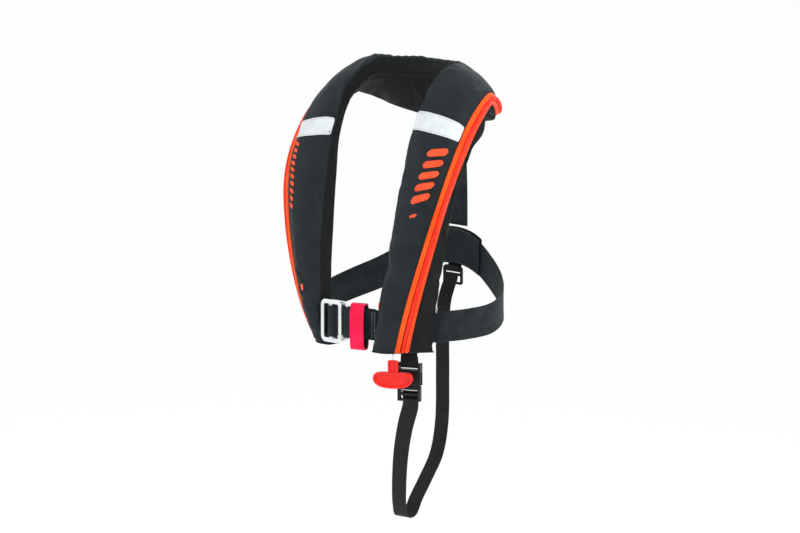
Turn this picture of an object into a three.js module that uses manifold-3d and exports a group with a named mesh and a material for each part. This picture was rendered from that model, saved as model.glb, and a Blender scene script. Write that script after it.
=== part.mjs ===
// Automatic inflatable life jacket: a horseshoe cover closed by a burst zip, the folded bladder
// and gas inflation set inside it, a waist belt with a slot-in buckle, and a crotch strap.
// Millimetres. +Z up, the wearer faces -Y, the wearer's left is +X.
// The origin is the middle of the neck opening at shoulder level.
import * as THREE from 'three';
import { mergeVertices } from 'three/addons/utils/BufferGeometryUtils.js';
import Module from 'manifold-3d';

const wasm = await Module();
wasm.setup();

// The lobe section has four rails, given from the middle of the back to the left lobe's end.
const BODY_INNER = [
  [0, 50, 4], [32, 44, 3], [54, 28, 2], [66, 2, 4], [76, -38, -22], [74, -70, -74],
  [68, -86, -134], [62, -100, -205], [56, -112, -280], [48, -117, -335], [38, -116, -372],
];
const FRONT_INNER = [
  [0, 68, 26], [33, 60, 27], [54, 36, 28], [64, 0, 30], [70, -52, 0], [68, -90, -66],
  [65, -110, -130], [62, -127, -205], [57, -138, -280], [50, -142, -335], [40, -136, -372],
];
const ZIP_EDGE = [
  [0, 108, -58], [56, 105, -56], [104, 80, -40], [138, 22, -12], [149, -36, -42], [154, -78, -92],
  [150, -103, -145], [136, -118, -208], [115, -125, -280], [96, -123, -335], [80, -116, -372],
];
const BODY_OUTER = [
  [0, 90, -74], [52, 86, -70], [98, 66, -58], [134, 24, -40], [148, -18, -62], [152, -52, -98],
  [147, -76, -145], [140, -87, -208], [129, -89, -280], [117, -86, -335], [111, -80, -372],
];
const STATIONS = 40;
const CROWN = 9;
const FABRIC = 2;
const TAPE = 1.2;
const ZIP_HALF = 9.5;
const COIL_R = 2.6;
const SEAM_GAP = 0.6;

const WEB = 1.8;
const BELT_WIDE = 45;
const BELT_Z = -341;
const CROTCH_WIDE = 25;
const BACK_WIDE = 40;

const FRONT_FRAME_AT = [-29.5, -143.5, -335];
const REAR_FRAME_AT = [-23, -136, -335];
const FRAME_THICK = 3;
const LOOP_AT = [6.6, -125.5, -341.2];
const LOOP_TURN = 41.8;

const INFLATOR_AT = [78, -118.5, -319];
const INFLATOR_TURN = 24.9;
const BOTTLE_FOOT = [83.5, -121.5, -319];
const BOTTLE_TOP = [98, -111, -185];
const CYLINDER_R = 12.7;
const CYLINDER_LONG = 136;
const CORD_AT = [68.9, -122.7];
const HANDLE_TOP = -383;

const CROTCH_BUCKLE_AT = [74.5, -92.5, -391];
const CROTCH_BUCKLE_TURN = 22;

const COLORS = {
  fabric: 0x353f44, orange: 0xff6a2e, coil: 0xff3b16, grey: 0xd8dfe1, black: 0x16191b,
  red: 0xf0281c, pink: 0xf5123f, metal: 0xd5d8da, yellow: 0xf2d21b, steel: 0x9aa0a4,
  green: 0x2fb457, white: 0xf2f4f4,
};

const V = (x, y, z) => new THREE.Vector3(x, y, z);
const V2 = (x, y) => new THREE.Vector2(x, y);
const root = new THREE.Group();

function add(name, geometry, color, roughness, metalness = 0, parent = root) {
  const material = new THREE.MeshStandardMaterial({ color, roughness, metalness });
  const mesh = new THREE.Mesh(geometry, material);
  mesh.name = name;
  parent.add(mesh);
  return mesh;
}

function merged(geometry) {
  const bare = geometry.index ? geometry.toNonIndexed() : geometry.clone();
  bare.deleteAttribute('normal');
  bare.deleteAttribute('uv');
  return mergeVertices(bare, 1e-3);
}

function toSolid(geometry) {
  const g = merged(geometry);
  const mesh = new wasm.Mesh({
    numProp: 3,
    vertProperties: new Float32Array(g.attributes.position.array),
    triVerts: new Uint32Array(g.index.array),
  });
  return new wasm.Manifold(mesh);
}

function toGeometry(solid) {
  const mesh = solid.getMesh();
  const g = new THREE.BufferGeometry();
  const count = mesh.vertProperties.length / mesh.numProp;
  const points = new Float32Array(count * 3);
  for (let i = 0; i < count; i += 1) {
    for (let k = 0; k < 3; k += 1) points[i * 3 + k] = mesh.vertProperties[i * mesh.numProp + k];
  }
  g.setAttribute('position', new THREE.BufferAttribute(points, 3));
  g.setIndex(new THREE.BufferAttribute(new Uint32Array(mesh.triVerts), 1));
  return g;
}

function cut(base, ...tools) {
  let solid = toSolid(base);
  for (const tool of tools) solid = solid.subtract(toSolid(tool));
  return toGeometry(solid);
}

function join(...pieces) {
  let solid = toSolid(pieces[0]);
  for (const piece of pieces.slice(1)) solid = solid.add(toSolid(piece));
  return toGeometry(solid);
}

// A closed body between two grids of points: outer(i, j) and inner(i, j).
function slab(rows, cols, outer, inner) {
  const points = [];
  const index = [];
  const at = (side, i, j) => (side * (rows + 1) + i) * (cols + 1) + j;
  for (const surface of [outer, inner]) {
    for (let i = 0; i <= rows; i += 1) {
      for (let j = 0; j <= cols; j += 1) points.push(...surface(i, j).toArray());
    }
  }
  const quad = (a, b, c, d) => index.push(a, b, c, a, c, d);
  for (let i = 0; i < rows; i += 1) {
    for (let j = 0; j < cols; j += 1) {
      quad(at(0, i, j), at(0, i + 1, j), at(0, i + 1, j + 1), at(0, i, j + 1));
      quad(at(1, i, j), at(1, i, j + 1), at(1, i + 1, j + 1), at(1, i + 1, j));
    }
  }
  for (let i = 0; i < rows; i += 1) {
    quad(at(0, i, 0), at(1, i, 0), at(1, i + 1, 0), at(0, i + 1, 0));
    quad(at(0, i + 1, cols), at(1, i + 1, cols), at(1, i, cols), at(0, i, cols));
  }
  for (let j = 0; j < cols; j += 1) {
    quad(at(0, 0, j + 1), at(1, 0, j + 1), at(1, 0, j), at(0, 0, j));
    quad(at(0, rows, j), at(1, rows, j), at(1, rows, j + 1), at(0, rows, j + 1));
  }
  return outward(points, index);
}

// A closed body through a row of closed rings that each have the same number of points.
function loft(rings) {
  const n = rings[0].length;
  const points = rings.flat().flatMap((p) => p.toArray());
  const index = [];
  for (let i = 0; i + 1 < rings.length; i += 1) {
    for (let j = 0; j < n; j += 1) {
      const a = i * n + j;
      const b = i * n + ((j + 1) % n);
      index.push(a, b, b + n, a, b + n, a + n);
    }
  }
  const last = (rings.length - 1) * n;
  for (const [a, b, c] of capTriangles(rings[0])) index.push(a, c, b);
  for (const [a, b, c] of capTriangles(rings.at(-1))) index.push(last + a, last + b, last + c);
  return outward(points, index);
}

function capTriangles(ring) {
  const normal = V(0, 0, 0);
  ring.forEach((p, k) => normal.add(p.clone().cross(ring[(k + 1) % ring.length])));
  normal.normalize();
  const turn = new THREE.Quaternion().setFromUnitVectors(normal, V(0, 0, 1));
  const flat = ring.map((p) => p.clone().applyQuaternion(turn)).map((p) => V2(p.x, p.y));
  return THREE.ShapeUtils.triangulateShape(flat, []);
}

function outward(points, index) {
  let volume = 0;
  const at = (k) => V(points[k * 3], points[k * 3 + 1], points[k * 3 + 2]);
  for (let k = 0; k < index.length; k += 3) {
    volume += at(index[k]).dot(at(index[k + 1]).cross(at(index[k + 2])));
  }
  if (volume < 0) {
    for (let k = 0; k < index.length; k += 3) {
      [index[k + 1], index[k + 2]] = [index[k + 2], index[k + 1]];
    }
  }
  const g = new THREE.BufferGeometry();
  g.setAttribute('position', new THREE.Float32BufferAttribute(points, 3));
  g.setIndex(index);
  return g;
}

// ---- lobe sections -------------------------------------------------------------------------

function rail(half) {
  const right = half.slice(1).reverse().map(([x, y, z]) => V(-x, y, z));
  const left = half.map(([x, y, z]) => V(x, y, z));
  return new THREE.CatmullRomCurve3([...right, ...left], false, 'centripetal');
}

const RAILS = [BODY_INNER, FRONT_INNER, ZIP_EDGE, BODY_OUTER].map(rail);

function sectionAt(t) {
  const [inner, front, zip, outer] = RAILS.map((curve) => curve.getPoint(t));
  const across = outer.clone().sub(inner);
  const width = across.length();
  across.normalize();
  const f = front.clone().sub(inner);
  const z = zip.clone().sub(inner);
  const out = f.clone().add(z);
  out.addScaledVector(across, -out.dot(across)).normalize();
  return {
    inner, across, out, width,
    front: V2(f.dot(across), f.dot(out)),
    zip: V2(z.dot(across), z.dot(out)),
  };
}

const SECTIONS = Array.from({ length: STATIONS + 1 }, (_, i) => sectionAt(i / STATIONS));

function place(s, p) {
  return s.inner.clone().addScaledVector(s.across, p.x).addScaledVector(s.out, p.y);
}

function inset(line, distance) {
  return line.map((p, k) => {
    const before = line[Math.max(k - 1, 0)];
    const after = line[Math.min(k + 1, line.length - 1)];
    const d1 = k > 0 ? p.clone().sub(before).normalize() : null;
    const d2 = k < line.length - 1 ? after.clone().sub(p).normalize() : null;
    const n1 = d1 ? V2(d1.y, -d1.x) : V2(d2.y, -d2.x);
    const n2 = d2 ? V2(d2.y, -d2.x) : n1;
    const n = n1.clone().add(n2).normalize();
    return p.clone().addScaledVector(n, distance / Math.max(n.dot(n1), 0.5));
  });
}

function crownPoint(s, u) {
  const chord = s.zip.clone().sub(s.front);
  const n = V2(-chord.y, chord.x).normalize();
  const rise = CROWN * Math.sin(Math.PI * u);
  return s.front.clone().addScaledVector(chord, u).addScaledVector(n, rise);
}

function frontLine(s) {
  const chord = s.zip.clone().sub(s.front).length();
  const last = 1 - ZIP_HALF / chord;
  const line = [V2(0, FABRIC + SEAM_GAP), s.front.clone().multiplyScalar(0.84)];
  for (const u of [0.05, 0.2, 0.36, 0.52, 0.68]) line.push(crownPoint(s, u));
  line.push(crownPoint(s, last));
  return line;
}

function gussetPoint(s, distance) {
  const down = V2(s.width, 0).sub(s.zip).normalize();
  return s.zip.clone().addScaledVector(down, distance);
}

function bodyLine(s) {
  const deep = V2(s.width, 0).distanceTo(s.zip);
  return [
    gussetPoint(s, ZIP_HALF), gussetPoint(s, deep * 0.6), gussetPoint(s, deep - 3),
    V2(s.width - 3.5, 0), V2(s.width * 0.5, 0), V2(0, 0),
  ];
}

function frontTapeLine(s) {
  const chord = s.zip.clone().sub(s.front).length();
  const start = crownPoint(s, 1 - ZIP_HALF / chord);
  const dir = s.zip.clone().sub(start);
  const length = dir.length();
  dir.normalize();
  const a = start.clone().addScaledVector(dir, SEAM_GAP);
  return [a, start.clone().addScaledVector(dir, length - COIL_R - SEAM_GAP)];
}

function rearTapeLine(s) {
  return [gussetPoint(s, COIL_R + SEAM_GAP), gussetPoint(s, ZIP_HALF - SEAM_GAP)];
}

function shell(name, lineOf, thick, color, roughness, from = 0, to = STATIONS) {
  const outerLines = SECTIONS.map((s) => lineOf(s));
  const innerLines = outerLines.map((line) => inset(line, thick));
  const cols = outerLines[0].length - 1;
  const outer = (i, j) => place(SECTIONS[i + from], outerLines[i + from][j]);
  const inner = (i, j) => place(SECTIONS[i + from], innerLines[i + from][j]);
  return add(name, slab(to - from, cols, outer, inner), color, roughness);
}

shell('outer_cover', frontLine, FABRIC, COLORS.fabric, 0.85);
shell('body_cover', bodyLine, FABRIC, COLORS.black, 0.9);
shell('front_zip_tape', frontTapeLine, TAPE, COLORS.orange, 0.7);
shell('rear_zip_tape', rearTapeLine, TAPE, COLORS.orange, 0.7);

function zipCoil() {
  const rings = SECTIONS.map((s) => {
    const ring = [];
    for (let k = 0; k < 6; k += 1) {
      const angle = (k * Math.PI) / 3;
      const p = s.zip.clone().add(V2(COIL_R * Math.cos(angle), COIL_R * Math.sin(angle)));
      ring.push(place(s, p));
    }
    return ring;
  });
  add('zip_coil', loft(rings), COLORS.coil, 0.45);
}
zipCoil();

// A point of a cover panel between two stations, moved out of the fabric by lift.
function coverPoint(t, column, lift, lineOf = frontLine) {
  const i = Math.min(Math.floor(t * STATIONS), STATIONS - 1);
  const near = place(SECTIONS[i], inset(lineOf(SECTIONS[i]), -lift)[column]);
  const far = place(SECTIONS[i + 1], inset(lineOf(SECTIONS[i + 1]), -lift)[column]);
  return near.lerp(far, t * STATIONS - i);
}

// Stations are counted from the middle of the back; +1 side is the wearer's left.
const along = (station, side) => 0.5 + (side * station) / 20;

function reflectiveTape(name, side, innerFrom, outerFrom, wide) {
  const first = 2;
  const cols = 5;
  const rows = 3;
  const at = (i, j, lift) => {
    const start = innerFrom + ((outerFrom - innerFrom) * j) / cols;
    return coverPoint(along(start + (wide * i) / rows, side), first + j, lift);
  };
  const geometry = slab(rows, cols, (i, j) => at(i, j, 1.6), (i, j) => at(i, j, 1));
  add(name, geometry, COLORS.grey, 0.35, 0.1);
}
reflectiveTape('reflective_tape_left', 1, 4.33, 4.0, 0.37);
reflectiveTape('reflective_tape_right', -1, 4.33, 4.0, 0.37);

// Flat fabric panel closing a lobe's lower end, from the end station up by the fabric's thickness.
function endPanel(name, side, holes) {
  const end = side > 0 ? STATIONS : 0;
  const next = side > 0 ? STATIONS - 1 : 1;
  const step = SECTIONS[next].inner.distanceTo(SECTIONS[end].inner);
  const ring = (share) => {
    const s = SECTIONS[end];
    const n = SECTIONS[next];
    const outline = (q) => {
      const front = inset(frontLine(q), FABRIC + 2.8 * SEAM_GAP).slice(1);
      const body = inset(bodyLine(q), FABRIC + 2.8 * SEAM_GAP);
      body.splice(2, 4, V2(q.width - 14, FABRIC + 2 * SEAM_GAP), body[4]);
      return [...front, ...body].map((p) => place(q, p));
    };
    const near = outline(s);
    const far = outline(n);
    return near.map((p, k) => p.lerp(far[k], share));
  };
  let panel = loft([ring(0.3 / step), ring((0.3 + FABRIC) / step)]);
  if (holes.length) panel = cut(panel, ...holes);
  add(name, panel, COLORS.black, 0.9);
}

function rodAt(x, y, z, radius, long) {
  const g = new THREE.CylinderGeometry(radius, radius, long, 12);
  g.rotateX(Math.PI / 2);
  g.translate(x, y, z);
  return g;
}
endPanel('left_end_panel', 1, [rodAt(CORD_AT[0], CORD_AT[1], -371, 2.6, 30)]);
endPanel('right_end_panel', -1, []);

// ---- bladder -------------------------------------------------------------------------------

// Folded bladder: fills the cover, leaves the inner edge free beside the oral tube and stops
// above the gas cylinder.
function bladder() {
  const rings = [];
  const last = Math.round(STATIONS * along(6.4, 1));
  for (let i = Math.round(STATIONS * along(8.8, -1)); i <= last; i += 1) {
    const s = SECTIONS[i];
    const station = 10 - (i / STATIONS) * 20;
    const besideTube = station > 4.6 ? 0.4 : Math.max(0.07, 0.4 - (4.6 - station) * 0.4);
    const low = Math.max(besideTube * s.zip.x, station > 7.7 ? 22 : 0);
    const bottom = FABRIC + 1.8;
    const side = (y) => s.width + ((s.zip.x - s.width) * y) / s.zip.y - FABRIC - 4;
    const chord = s.zip.clone().sub(s.front);
    const top = (x) => {
      const u = THREE.MathUtils.clamp((x - s.front.x) / chord.x, 0, 1);
      return crownPoint(s, u).y - FABRIC - 4;
    };
    const middle = (low + s.zip.x) / 2;
    const zipSide = s.zip.x - 9;
    rings.push([
      V2(low, bottom + 3), V2(low, top(low) - 4), V2(low + 6, top(low + 6) - 1),
      V2(middle, top(middle)), V2(zipSide, top(zipSide) - 2),
      V2(side(bottom + 6), bottom + 6), V2(side(bottom + 6) - 6, bottom), V2(low + 5, bottom),
    ].map((p) => place(s, p)));
  }
  add('bladder_pack', loft(rings), COLORS.yellow, 0.6);
}
bladder();

// ---- bands of webbing ----------------------------------------------------------------------

// A flat band through points; widthAt(k) is the band's width direction at point k.
function band(points, widthAt, wide, thick = WEB, smooth = 0) {
  let path = points.map((p) => V(...p));
  let share = (k) => k;
  if (smooth) {
    const curve = new THREE.CatmullRomCurve3(path, false, 'centripetal');
    path = curve.getPoints(smooth);
    share = (k) => (k / smooth) * (points.length - 1);
  }
  const frames = path.map((p, k) => {
    const ahead = path[Math.min(k + 1, path.length - 1)].clone().sub(p);
    const behind = p.clone().sub(path[Math.max(k - 1, 0)]);
    const tangent = ahead.normalize().add(behind.normalize()).normalize();
    const across = widthAt(share(k)).clone();
    across.addScaledVector(tangent, -across.dot(tangent)).normalize();
    return { p, across, n: across.clone().cross(tangent) };
  });
  const at = (i, j, side) => {
    const { p, across, n } = frames[i];
    const q = p.clone().addScaledVector(across, (j - 0.5) * wide);
    return q.addScaledVector(n, (side * thick) / 2);
  };
  return slab(path.length - 1, 1, (i, j) => at(i, j, 1), (i, j) => at(i, j, -1));
}

const upright = () => V(0, 0, 1);

function arc(cx, cy, radius, from, to, steps, z) {
  const points = [];
  for (let k = 0; k <= steps; k += 1) {
    const angle = THREE.MathUtils.degToRad(from + ((to - from) * k) / steps);
    points.push([cx + radius * Math.cos(angle), cy + radius * Math.sin(angle), z]);
  }
  return points;
}

// The belt's route round the wearer's left, from beside the buckle to the middle of the back.
const BELT_SIDE = [
  [80, -88, -340], [112, -69, -337], [138, -40, -334], [150, 0, -330], [140, 38, -320],
  [112, 68, -304], [70, 88, -279], [30, 97, -259],
];

function beltCurve(start, side, end) {
  const route = BELT_SIDE.map(([x, y, z]) => [x * side, y, z]);
  const curve = new THREE.CatmullRomCurve3(
    [start, ...route, end].map((p) => V(...p)), false, 'centripetal');
  return curve.getPoints(30).slice(1).map((p) => p.toArray());
}

function leftBelt() {
  const z = REAR_FRAME_AT[2];
  const hook = [[26, -112.4, z - 3], [10, -122, z - 1], ...arc(-7, -136, 4.9, 122, 305, 6, z)];
  const lead = [[12.5, -125, z - 1.5], [28, -114.6, z - 3.5]];
  const foot = [45, -104.5, BELT_Z];
  const route = beltCurve(foot, 1, [3, 99, -255]);
  const geometry = band([...hook, ...lead, foot, ...route], upright, BELT_WIDE);
  add('waist_belt_left', geometry, COLORS.black, 0.8);
}

function rightBelt() {
  const z = FRONT_FRAME_AT[2];
  const hook = [
    [-46, -98.8, z - 5], [-37, -104, z - 4], [-31.2, -112, z - 3], [-27.6, -128, z - 1],
    [-25.2, -139, z], ...arc(-29.5, -143.5, 4.4, 0, -180, 5, z),
  ];
  const lead = [[-34.2, -137, z], [-34.4, -113, z - 2], [-40, -106.6, z - 4]];
  const foot = [-50, -101.6, BELT_Z];
  const route = beltCurve(foot, -1, [-3, 99, -255]);
  const geometry = band([...hook, ...lead, foot, ...route], upright, BELT_WIDE);
  add('waist_belt_right', geometry, COLORS.black, 0.8);
}
leftBelt();
rightBelt();

// ---- waist buckle --------------------------------------------------------------------------

function roundedRect(wide, high, radius) {
  const shape = new THREE.Shape();
  const x = wide / 2;
  const y = high / 2;
  shape.moveTo(-x + radius, -y);
  shape.lineTo(x - radius, -y);
  shape.absarc(x - radius, -y + radius, radius, -Math.PI / 2, 0, false);
  shape.lineTo(x, y - radius);
  shape.absarc(x - radius, y - radius, radius, 0, Math.PI / 2, false);
  shape.lineTo(-x + radius, y);
  shape.absarc(-x + radius, y - radius, radius, Math.PI / 2, Math.PI, false);
  shape.lineTo(-x, -y + radius);
  shape.absarc(-x + radius, -y + radius, radius, Math.PI, 1.5 * Math.PI, false);
  return shape;
}

function window(shape, x, y, wide, high, radius) {
  const hole = roundedRect(wide, high, radius);
  const points = hole.getPoints(4).map((p) => V2(p.x + x, p.y + y));
  shape.holes.push(new THREE.Path(points));
}

// A plate standing in the XZ plane, its shape drawn in X and Z, centred on y = 0.
function plate(shape, thick, bevel = 0) {
  const g = new THREE.ExtrudeGeometry(shape, {
    depth: thick - 2 * bevel, curveSegments: 4, bevelEnabled: bevel > 0,
    bevelSize: bevel, bevelThickness: bevel, bevelOffset: -bevel, bevelSegments: 2,
  });
  g.translate(0, 0, -thick / 2 + bevel);
  g.rotateX(Math.PI / 2);
  return g;
}

function buckleFrames() {
  const front = roundedRect(38.4, 63, 9);
  window(front, -7.8, 0, 11.4, 50, 2.5);
  window(front, 7.8, 0, 11.4, 50, 2.5);
  const frontMesh = add('front_buckle_frame', plate(front, FRAME_THICK), COLORS.metal, 0.3, 0.9);
  frontMesh.position.set(...FRONT_FRAME_AT);
  const rear = roundedRect(38, 60, 9);
  window(rear, 0, 0, 26, 49, 3);
  const rearMesh = add('rear_buckle_frame', plate(rear, FRAME_THICK), COLORS.metal, 0.3, 0.9);
  rearMesh.position.set(...REAR_FRAME_AT);
}
buckleFrames();

// A closed loop of webbing round the belt, drawn across the belt and extruded along it.
function webLoop(deep, high, thick, wide) {
  const shape = roundedRect(deep, high, deep / 2 - 1);
  const hole = roundedRect(deep - 2 * thick, high - 2 * thick, deep / 2 - 1 - thick);
  shape.holes.push(new THREE.Path(hole.getPoints(5)));
  const g = new THREE.ExtrudeGeometry(shape, { depth: wide, curveSegments: 5, bevelEnabled: false });
  g.translate(0, 0, -wide / 2);
  g.rotateX(Math.PI / 2);
  g.rotateZ(Math.PI / 2);
  return g;
}

const loopGroup = new THREE.Group();
loopGroup.position.set(...LOOP_AT);
loopGroup.rotation.z = THREE.MathUtils.degToRad(LOOP_TURN);
root.add(loopGroup);
add('safety_loop', webLoop(21.6, 68, 1.6, 22), COLORS.pink, 0.75, 0, loopGroup);
add('safety_loop_lining', webLoop(17.7, 64, 1.2, 21), COLORS.black, 0.8, 0, loopGroup);

// ---- inflation set in the left lobe --------------------------------------------------------

const gear = new THREE.Group();
gear.position.set(...INFLATOR_AT);
gear.rotation.z = THREE.MathUtils.degToRad(INFLATOR_TURN);
root.add(gear);

function box(x, y, z, cx, cy, cz) {
  const g = new THREE.BoxGeometry(x, y, z);
  g.translate(cx, cy, cz);
  return g;
}

function turned(profile, segments = 16) {
  const g = new THREE.LatheGeometry(profile.map(([r, z]) => V2(r, z)), segments);
  g.rotateX(Math.PI / 2);
  return g;
}

// The gas bottle leans outwards with the lobe; its neck sits in the inflator body.
function gasCylinder() {
  const foot = V(...BOTTLE_FOOT);
  const axis = V(...BOTTLE_TOP).sub(foot);
  const top = axis.length();
  const r = CYLINDER_R;
  const profile = [
    [0, -8], [4.4, -8], [4.4, 0], [6, 2], [10, 7], [r, 14], [r, top - 10],
    [r - 3, top - 3], [r - 7, top], [0, top],
  ];
  const bottle = add('gas_cylinder', turned(profile, 18), COLORS.steel, 0.35, 0.9);
  bottle.position.copy(foot);
  bottle.quaternion.setFromUnitVectors(V(0, 0, 1), axis.normalize());
}

const LEVER_PIVOT = [3, -25];
const LEVER_Y = 0;
const PIN_AT = [3, 0];

function inflatorBody() {
  const side = new THREE.Shape([V2(-11, -2.4), V2(-11, -18), V2(-6, -33), V2(7, -33), V2(7, -2.4)]);
  const block = new THREE.ExtrudeGeometry(side, { depth: 28, bevelEnabled: false });
  block.rotateX(Math.PI / 2);
  block.rotateZ(Math.PI / 2);
  block.translate(-22, 0, 0);
  const neck = turned([[0, -10], [6.5, -10], [6.5, 5], [0, 5]], 16);
  neck.translate(4.2, -4.4, 0);
  const bore = turned([[0, -24], [3.7, -24], [3.7, -8], [0, -8]], 16);
  bore.translate(PIN_AT[0], PIN_AT[1], 0);
  const slot = box(40, 4.4, 16, -7, LEVER_Y, -27.2);
  const pin = new THREE.CylinderGeometry(1.4, 1.4, 8, 12);
  pin.translate(LEVER_PIVOT[0], LEVER_Y, LEVER_PIVOT[1]);
  const bare = cut(block, neck, bore, slot);
  add('inflator_body', join(bare, pin), COLORS.black, 0.5, 0, gear);
}

// The lever is a plate that turns in the slot; its cam bears on the firing pin.
function manualLever() {
  const outline = [];
  for (let angle = -150; angle <= 150; angle += 20) {
    const rise = angle >= 20 && angle <= 90 ? (2.7 * (90 - angle)) / 70 : 0;
    const fall = angle > -10 && angle < 20 ? (2.7 * (angle + 10)) / 30 : 0;
    const radius = 4.5 + rise + fall;
    const a = THREE.MathUtils.degToRad(angle);
    outline.push(V2(radius * Math.cos(a), radius * Math.sin(a)));
  }
  outline.push(V2(-11, 1.5), V2(-14.5, 1), V2(-15.5, -1), V2(-14.5, -3), V2(-11, -3));
  const shape = new THREE.Shape(outline);
  const hole = new THREE.Path();
  hole.absarc(0, 0, 1.9, 0, 2 * Math.PI, true);
  shape.holes.push(hole);
  const lever = add('manual_lever', plate(shape, 3.2), COLORS.red, 0.5, 0, gear);
  lever.position.set(LEVER_PIVOT[0], LEVER_Y, LEVER_PIVOT[1]);
}

function firingPin() {
  const profile = [[0, -19.6], [3.2, -19.6], [3.2, -17.6], [1.2, -17.6], [1.2, -14.6], [0, -12.6]];
  const pin = turned(profile, 12);
  pin.translate(PIN_AT[0], PIN_AT[1], 0);
  add('firing_pin', pin, COLORS.metal, 0.3, 0.9, gear);
}

function pinSpring() {
  const coils = 3;
  const from = -16.9;
  const to = -13.6;
  const points = [];
  for (let k = 0; k <= coils * 10; k += 1) {
    const angle = (k * Math.PI) / 5;
    points.push(V(2.3 * Math.cos(angle), 2.3 * Math.sin(angle), from + ((to - from) * k) / (coils * 10)));
  }
  const wire = new THREE.Shape();
  wire.absarc(0, 0, 0.35, 0, 2 * Math.PI, false);
  const path = new THREE.CatmullRomCurve3(points);
  const g = new THREE.ExtrudeGeometry(wire, {
    steps: 60, extrudePath: path, curveSegments: 2, bevelEnabled: false,
  });
  g.translate(PIN_AT[0], PIN_AT[1], 0);
  add('pin_spring', g, COLORS.steel, 0.35, 0.9, gear);
}

function sensorCap() {
  const cap = turned([[0, -2], [6, -2], [6, 4], [5, 5.6], [0, 5.6]], 12);
  cap.translate(-15.6, -2, 0);
  add('water_sensor_cap', cap, COLORS.yellow, 0.5, 0, gear);
}

function manifoldNut() {
  const nut = turned([[0, 0], [7, 0], [7, 2.6], [0, 2.6]], 6);
  nut.rotateX(-Math.PI / 2);
  nut.translate(-5, 7.4, -12);
  add('manifold_nut', nut, COLORS.black, 0.5, 0, gear);
}

function statusClip() {
  add('status_clip', box(2.2, 7, 11, -23.6, -1, -12), COLORS.green, 0.4, 0, gear);
}
gasCylinder();
inflatorBody();
manualLever();
firingPin();
pinSpring();
sensorCap();
manifoldNut();
statusClip();

// ---- pull cord and handle ------------------------------------------------------------------

function pullCord() {
  const high = -352.4;
  const low = HANDLE_TOP + 0.4;
  const g = new THREE.CylinderGeometry(1.1, 1.1, high - low, 8, 6);
  g.rotateX(Math.PI / 2);
  g.translate(CORD_AT[0], CORD_AT[1], (high + low) / 2);
  add('pull_cord', g, COLORS.white, 0.7);
}

function pullHandle() {
  const shape = new THREE.Shape();
  const stem = 7.6;
  shape.moveTo(-stem, 0);
  shape.lineTo(-stem, -17);
  shape.quadraticCurveTo(-18, -16.5, -24, -18);
  shape.quadraticCurveTo(-29, -20, -29, -27);
  shape.quadraticCurveTo(-28.5, -34, -19, -38);
  shape.quadraticCurveTo(0, -43, 19, -38);
  shape.quadraticCurveTo(28.5, -34, 29, -27);
  shape.quadraticCurveTo(29, -20, 24, -18);
  shape.quadraticCurveTo(18, -16.5, stem, -17);
  shape.lineTo(stem, 0);
  shape.quadraticCurveTo(0, 2, -stem, 0);
  const handle = add('pull_handle', plate(shape, 8, 1.6), COLORS.red, 0.4);
  handle.position.set(CORD_AT[0], CORD_AT[1], HANDLE_TOP - 1);
  handle.rotation.z = THREE.MathUtils.degToRad(28);
}
pullCord();
pullHandle();

// ---- oral tube, whistle and lifting loop in the right lobe ---------------------------------

function insideRight(station, x, y) {
  const t = along(station, -1);
  const i = Math.floor(t * STATIONS);
  const near = place(SECTIONS[i], V2(x, y));
  const far = place(SECTIONS[i + 1], V2(x, y));
  return near.lerp(far, t * STATIONS - i);
}

const tubeLine = new THREE.CatmullRomCurve3(
  [7.6, 7.1, 6.6, 6.1].map((station) => insideRight(station, 15, 12)), false, 'centripetal');

function tubeAlong(curve, outer, bore, steps) {
  const shape = new THREE.Shape();
  shape.absarc(0, 0, outer, 0, 2 * Math.PI, false);
  if (bore) {
    const hole = new THREE.Path();
    hole.absarc(0, 0, bore, 0, 2 * Math.PI, true);
    shape.holes.push(hole);
  }
  return new THREE.ExtrudeGeometry(shape, {
    steps, extrudePath: curve, curveSegments: 5, bevelEnabled: false,
  });
}

const oral = new THREE.Group();
oral.position.copy(tubeLine.getPoint(1));
oral.quaternion.setFromUnitVectors(V(0, 0, 1), tubeLine.getTangent(1));
root.add(oral);

function oralTube() {
  add('oral_tube', tubeAlong(tubeLine, 5.5, 3.6, 8), COLORS.black, 0.6);
  const housing = cut(
    turned([[0, 0.4], [6.2, 0.4], [6.2, 3], [5.2, 4], [5.2, 14], [0, 14]], 14),
    turned([[0, -1], [3.2, -1], [3.2, 20], [0, 20]], 14));
  add('oral_valve_housing', housing, COLORS.black, 0.5, 0, oral);
  const stem = turned([[0, -6], [2.7, -6], [2.7, -3], [1.4, -3], [1.4, 11], [0, 11]], 10);
  add('oral_valve_stem', stem, COLORS.red, 0.5, 0, oral);
  const cap = cut(
    turned([[0, 6], [7, 6], [7, 17.5], [0, 17.5]], 14),
    turned([[0, 4], [5.7, 4], [5.7, 15.5], [0, 15.5]], 14));
  add('oral_dust_cap', cap, COLORS.black, 0.5, 0, oral);
}
oralTube();

function whistle() {
  const pocket = new THREE.Group();
  const s = SECTIONS[Math.round(STATIONS * along(8.3, -1))];
  const up = s.across.clone().cross(s.out);
  pocket.quaternion.setFromRotationMatrix(new THREE.Matrix4().makeBasis(s.across, s.out, up));
  pocket.position.copy(insideRight(8.3, 13, 13));
  root.add(pocket);
  const body = cut(
    join(box(10, 8, 24, 0, 0, 0), rodAlongX(6.5, 10, 0, 0, -10)),
    box(6, 4.4, 14, 0, 0, 8), box(6, 12, 3, 0, -6, 3));
  add('whistle', body, COLORS.orange, 0.4, 0, pocket);
  const ring = new THREE.TorusGeometry(3, 0.8, 6, 12);
  ring.rotateY(Math.PI / 2);
  ring.translate(0, 0, -20.6);
  add('whistle_ring', ring, COLORS.steel, 0.35, 0.9, pocket);
}

function rodAlongX(radius, long, x, y, z) {
  const g = new THREE.CylinderGeometry(radius, radius, long, 14);
  g.rotateZ(Math.PI / 2);
  g.translate(x, y, z);
  return g;
}
whistle();

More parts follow.
